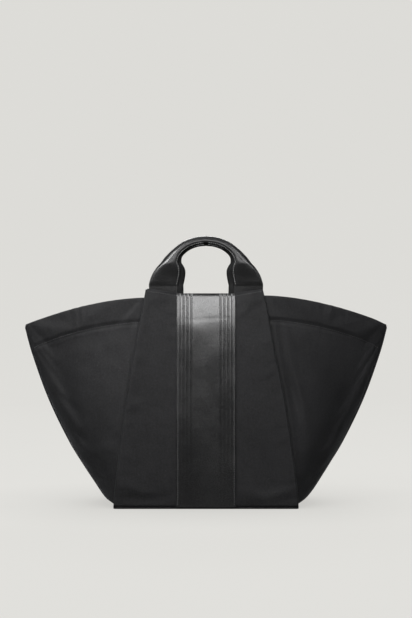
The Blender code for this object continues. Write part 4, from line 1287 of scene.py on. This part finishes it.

# %% [markdown]
# ## Studio
# The bag stands on a plain pale floor that curves up behind it. A broad softbox in front and above gives the
# leather its bright upper end, and two narrow keys light the cloth, the left one more. Strips at the sides
# draw the wings' rims, an overhead light fills the mouth, and three lights behind serve the back. The paper
# glows for the camera, dimmed by ambient occlusion where the bag stands close: a painted contact shadow.

# %% Studio
def studio_material():
    """Pale paper that glows an even tone for the camera, dimmed near the bag as a painted shadow; it throws only a
    little light on the bag.
    """
    made, tree, shader, place, _ = blank("studio paper with painted contact shadow")
    seen = node(tree, "LightPath").outputs["Is Camera Ray"]
    paper = tint(tree, seen, (0.16, 0.16, 0.155), (0.012, 0.012, 0.0118))
    lift = tint(tree, clouds(tree, place, 1.5, 2.0).outputs[0], (0.716, 0.709, 0.680), (0.724, 0.717, 0.688))
    # Ambient occlusion dims the paper's glow near the bag: a painted contact shadow.
    near = node(tree, "AmbientOcclusion", Distance=0.22).outputs["AO"]
    glow_with_painted_shadow = maths(tree, "MULTIPLY", spread(tree, near, 0.35, 1.0, 0.80, 1.0), seen)
    set_inputs(tree, shader, Base_Color=paper, Roughness=0.95, Emission_Color=lift, Emission_Strength=glow_with_painted_shadow,
               Specular_IOR_Level=0.1)
    return made


def sweep():
    """Floor and backdrop in one curved sheet."""
    radius, front, back, top = 1.2, -4.0, 2.2, 4.0
    turn = [math.pi / 2 * i / 16 for i in range(17)]
    line = [(front, 0)] + [(back + radius * math.sin(a), radius - radius * math.cos(a)) for a in turn] \
        + [(back + radius, top)]
    bm, _ = grid(8, len(line) - 1, lambda c, r: Vector((mix(-5, 5, c / 8), line[r][0], line[r][1])))
    return bm


paper = bpy.data.meshes.new("studio sweep")
bm = sweep()
bm.to_mesh(paper)
bm.free()
paper.materials.append(studio_material())
paper.polygons.foreach_set("use_smooth", [True] * len(paper.polygons))
backdrop = bpy.data.objects.new("studio sweep", paper)
scene.collection.objects.link(backdrop)


FRONT, SIDES, STRIP, KEY = (0, 0, 0.27), (0, 0, 0.25), (0.4, 1.2), (0.45, 0.35)


def softbox(name, place, aim, size, watts, spread_angle=180):
    """An area light the camera can't see, turned towards a point."""
    light = bpy.data.lights.new(name, "AREA")
    light.shape, light.size, light.size_y, light.energy = "RECTANGLE", *size, watts
    light.spread = math.radians(spread_angle)
    lamp = bpy.data.objects.new(name, light)
    scene.collection.objects.link(lamp)
    lamp.location = place
    lamp.rotation_euler = (Vector(aim) - Vector(place)).to_track_quat("-Z", "Y").to_euler()
    lamp.visible_camera = False
    return lamp


lights = [
    softbox("front softbox", (0, -2.4, 1.42), FRONT, (1.5, 0.62), 34),
    softbox("left strip", (-1.7, -0.8, 0.9), SIDES, STRIP, 7),
    softbox("right strip", (1.7, -0.8, 0.9), SIDES, STRIP, 5),
    softbox("left key", (-0.60, -0.65, 1.0), (-0.13, 0.0, 0.33), KEY, 1.9, 50),
    softbox("right key", (0.55, -0.65, 1.0), (0.08, 0.0, 0.33), KEY, 0.6, 50),
    softbox("overhead", (0, 0.3, 2.6), (0, 0.3, 0), (2.6, 1.8), 12),
    softbox("rear softbox", (0, 2.3, 1.8), FRONT, (1.7, 0.7), 40),
    softbox("left rear strip", (-1.5, 1.2, 0.9), SIDES, STRIP, 7),
    softbox("right rear strip", (1.5, 1.2, 0.9), SIDES, STRIP, 7),
]

world = bpy.data.worlds.new("studio")
scene.world = world
world.use_nodes = True
sky = world.node_tree
around = tint(sky, node(sky, "LightPath").outputs["Is Camera Ray"], (0.045, 0.045, 0.047), (0.73, 0.72, 0.69))
sky.links.new(around, sky.nodes["Background"].inputs[0])

camera = bpy.data.cameras.new("camera")
camera.sensor_width = 36.0
camera.lens = 95.7
eye = bpy.data.objects.new("camera", camera)
scene.collection.objects.link(eye)
eye.location = (0, -2.3, 0.2703)
eye.rotation_euler = (math.pi / 2, 0, 0)
scene.camera = eye
scene.view_settings.view_transform = "Standard"
print("studio ready")
